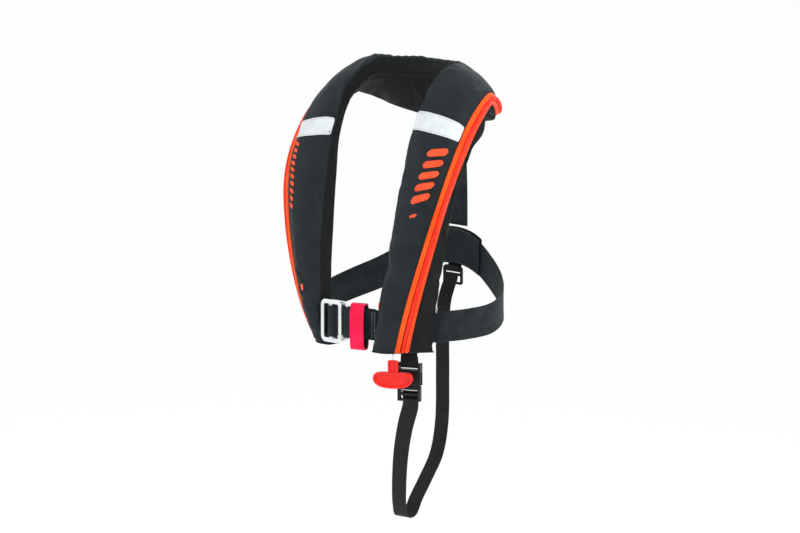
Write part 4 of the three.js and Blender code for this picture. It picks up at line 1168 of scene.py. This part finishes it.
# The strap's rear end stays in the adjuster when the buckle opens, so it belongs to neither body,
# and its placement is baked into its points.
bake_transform(crotch_strap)


# ---- Pull handle and cord -------------------------------------------------------------------
# The manual inflation handle: a red moulded grip 58 mm wide with a raised rim, three ribs on
# its stem and a moulded diagonal line, on a 2.2 mm braided cord from the gas lever.

# Moulded nylon: signal red with a thin gloss over a fine grain.
handle_nylon = moulded("moulded_nylon_signal_red", ("#E0150C", "#F0241A"), 0.36, coat=0.15)


def quadratic(start, control, end, steps=7):
    """Points along a curve with one control point, without its start."""
    t = np.linspace(0, 1, steps + 1)[1:, None]
    a, b, c = (np.array(p, float) for p in (start, control, end))
    return [tuple(p) for p in (1 - t) ** 2 * a + 2 * t * (1 - t) * b + t ** 2 * c]


grip_corners = [(-7.6, -17), ((-18, -16.5), (-24, -18)), ((-29, -20), (-29, -27)),
                ((-28.5, -34), (-19, -38)), ((0, -43), (19, -38)), ((28.5, -34), (29, -27)),
                ((29, -20), (24, -18)), ((18, -16.5), (7.6, -17))]
grip_outline = [grip_corners[0]]
for control, end in grip_corners[1:]:
    grip_outline += quadratic(grip_outline[-1], control, end)
handle_outline = ([(-7.6, 0)] + grip_outline + [(7.6, 0)]
                  + quadratic((7.6, 0), (0, 2), (-7.6, 0))[:-1])
cord_x, cord_y = 68.9, -122.7
handle_matrix = standing((cord_x, cord_y, -384), 28)
handle_parts = [(plate_mesh(handle_outline, [], 3.6, 1.0), handle_matrix)]
grip_array = np.array(grip_outline)
grip_middle = np.array((0, -28.0))
inner_loop = grip_middle + (grip_array - grip_middle) * np.array((0.88, 0.74))
handle_parts.append((plate_mesh([tuple(p) for p in grip_outline],
                                [[tuple(p) for p in inner_loop]], 8.6, 0.55), handle_matrix))
for x in (-5.6, 0.0, 5.6):
    handle_parts.append((plate_mesh(rounded_rect(2.4, 15.5, 1.1, x, -8.3), [], 8.4, 0.4),
                         handle_matrix))
diagonal = [(-13, -33.2), (-11.6, -34.0), (12.6, -23.4), (11.2, -22.6)]
handle_parts.append((plate_mesh(diagonal, [], 6.0, 0.25), handle_matrix))
pull_grip = join_meshes("pull_handle_grip", handle_parts, handle_nylon, "pull_handle", "handle")

# Braided polyester: white, with slanting strands in light and shade.
cord_braid, cord_out = new_material("braided_polyester_cord_white")
cord_uv = add_node(cord_braid, "ShaderNodeTexCoord")
# A braid of 0.5 mm strands, drawn 1 mm wide so that it shows.
cord_wave = add_node(cord_braid, "ShaderNodeTexWave", {
    "bands_direction": "DIAGONAL", "Scale": 314.0, "Distortion": 1.0}, Vector=(cord_uv, "Object"))
cord_colour = add_node(cord_braid, "ShaderNodeValToRGB", Fac=(cord_wave, "Fac"))
set_ramp(cord_colour, (0.2, "#B9BEC0"), (0.7, "#F1F3F3"))
cord_bump = add_node(cord_braid, "ShaderNodeBump", {"Strength": 0.5, "Distance": 0.0002},
                     Height=(cord_wave, "Fac"))
cord_shader = add_node(cord_braid, "ShaderNodeBsdfPrincipled", {"IOR": 1.5, "Roughness": 0.7},
                       Base_Color=(cord_colour, "Color"), Normal=(cord_bump, "Normal"))
cord_braid.node_tree.links.new(cord_shader.outputs[0], cord_out.inputs[0])
cord_radius, cord_top, cord_foot = 1.1, -352.4, -382.8
cord_path = [tuple(np.array((cord_x, cord_y, z)) * MM)
             for z in np.linspace(cord_top, cord_foot, 17)]
pull_line = round_tube("pull_cord_braid", np.array(cord_path), cord_radius * MM, cord_braid,
                       "pull_cord", "handle", sides=12)


# ---- Inflator and gas cylinder --------------------------------------------------------------
# Under the left lobe's cover: a zinc-plated steel gas cylinder screwed into a black moulded
# inflator with its lever, firing pin, spring, water sensor cap, nut and status clip.

# Zinc plating: dull grey metal with a faint mottle.
plated, plated_out = new_material("zinc_plated_steel")
plated_place = add_node(plated, "ShaderNodeTexCoord")
# Zinc plating has a faint crystalline mottle a few millimetres across.
plated_cells = add_node(plated, "ShaderNodeTexVoronoi", {"Scale": 260.0},
                        Vector=(plated_place, "Object"))
plated_colour = add_node(plated, "ShaderNodeValToRGB", Fac=(plated_cells, "Distance"))
set_ramp(plated_colour, (0.1, "#8E9499"), (0.8, "#B5BABE"))
plated_gloss = add_node(plated, "ShaderNodeMapRange", {"To Min": 0.3, "To Max": 0.5},
                        Value=(plated_cells, "Distance"))
plated_shader = add_node(plated, "ShaderNodeBsdfPrincipled", {"Metallic": 1.0},
                         Base_Color=(plated_colour, "Color"), Roughness=(plated_gloss, "Result"))
plated.node_tree.links.new(plated_shader.outputs[0], plated_out.inputs[0])
soften("gas_cylinder", plated, 0.4)
soften("pin_spring", plated, 0.1, 60)
soften("whistle_ring", plated, 0.1, 60)
for node in ("firing_pin", "zip_slider", "zip_pull_tab"):
    soften(node, steel, 0.3)
soften("manual_lever", handle_nylon, 0.4)
soften("inflator_body", acetal, 0.6)
soften("manifold_nut", acetal, 0.4)
soften("water_sensor_cap", moulded("moulded_nylon_yellow", ("#E6C414", "#F4D42A"), 0.4), 0.4)
soften("status_clip", moulded("moulded_acetal_green", ("#1FA34B", "#2FBC5D"), 0.38), 0.3)


# ---- Oral tube, whistle and lifting loop ----------------------------------------------------
# Under the right lobe's cover: a black rubber mouth tube with its valve and dust cap, an
# orange plastic whistle and a webbing lifting loop.

soften("oral_tube", moulded("moulded_rubber_black", ("#17191A", "#222526"), 0.62), 0.3)
soften("oral_valve_housing", acetal, 0.3)
soften("oral_dust_cap", acetal, 0.3)
soften("oral_valve_stem", handle_nylon, 0.2)
soften("whistle", moulded("moulded_plastic_orange", ("#F7611F", "#FF7838"), 0.35), 0.5)
# Undyed polyester webbing: pale grey.
lifting_webbing = webbing("polyester_webbing_grey", ("#A9AFB1", "#C4CACC", "#D9DEDF"))
soften("lifting_loop", lifting_webbing, 0.3)


# ---- Small sewn tabs ------------------------------------------------------------------------
# Two folded orange ribbon tabs and one white one, caught in the cover's seams, that mark where
# the cover opens.

# Woven ribbon: smooth, in flat orange or white.
ribbon_orange = woven("polyester_ribbon_orange", ("#F0521B", "#FF6A2E", "#FF8750"), 1.2, 0.5, 0.2)
ribbon_white = woven("polyester_ribbon_white", ("#D5D9D9", "#F2F4F4", "#FFFFFF"), 1.2, 0.5, 0.2)


def ribbon_tab(name, node, material, base, way, up, long, wide):
    """A folded ribbon lying against the cloth: base and directions in metres and unit vectors."""
    way, up = unit(np.array(way)), unit(np.array(up))
    out = np.cross(up, way)
    grid = []
    for v in np.linspace(-0.5, 0.5, 5):
        line = []
        for t in np.linspace(0, 1, 9):
            angle = t * math.pi
            reach = long * (0.5 - 0.5 * math.cos(angle))
            line.append(np.array(base) + way * reach * MM + up * v * wide * MM
                        + out * (0.9 + 0.5 * math.sin(angle)) * MM)
        grid.append(line)
    return cloth_piece(name, np.array(grid), material, 0.6 * MM, node, 1)


def tab_on_front(name, node, material, side, at_station, share, long, wide):
    """A ribbon tab on the front cloth that points towards the zip."""
    base, out = on_cover(at_station, side, share, 0.0)
    near, _ = on_cover(at_station, side, share + 0.05, 0.0)
    above, _ = on_cover(at_station - 0.1, side, share, 0.0)
    way = near - base
    up = above - base
    if np.dot(np.cross(up, way), out) < 0:
        up = -up
    return ribbon_tab(name, node, material, base, way, up, long, wide)


tab_on_front("ribbon_tab_left", "orange_tab_left", ribbon_orange, 1, 8.35, 0.015, 5.0, 10)
tab_on_front("ribbon_tab_right", "orange_tab_right", ribbon_orange, -1, 8.2, 0.5, 5.0, 9)
white_station, white_column = 8.5, 34
white_row = int((middle_point + white_station) / last_point * (rows - 1))
white_base = cover[white_row, white_column]
white_out = normals[white_row, white_column]
white_up = unit(cover[white_row - 6, white_column] - white_base)
white_way = np.cross(white_out, white_up)
if np.dot(white_way, camera_right) > 0:
    white_way = -white_way
if np.dot(np.cross(white_up, white_way), white_out) < 0:
    white_up = -white_up
ribbon_tab("ribbon_tab_white", "white_tab_left", ribbon_white, white_base, white_way, white_up,
           5.0, 9)
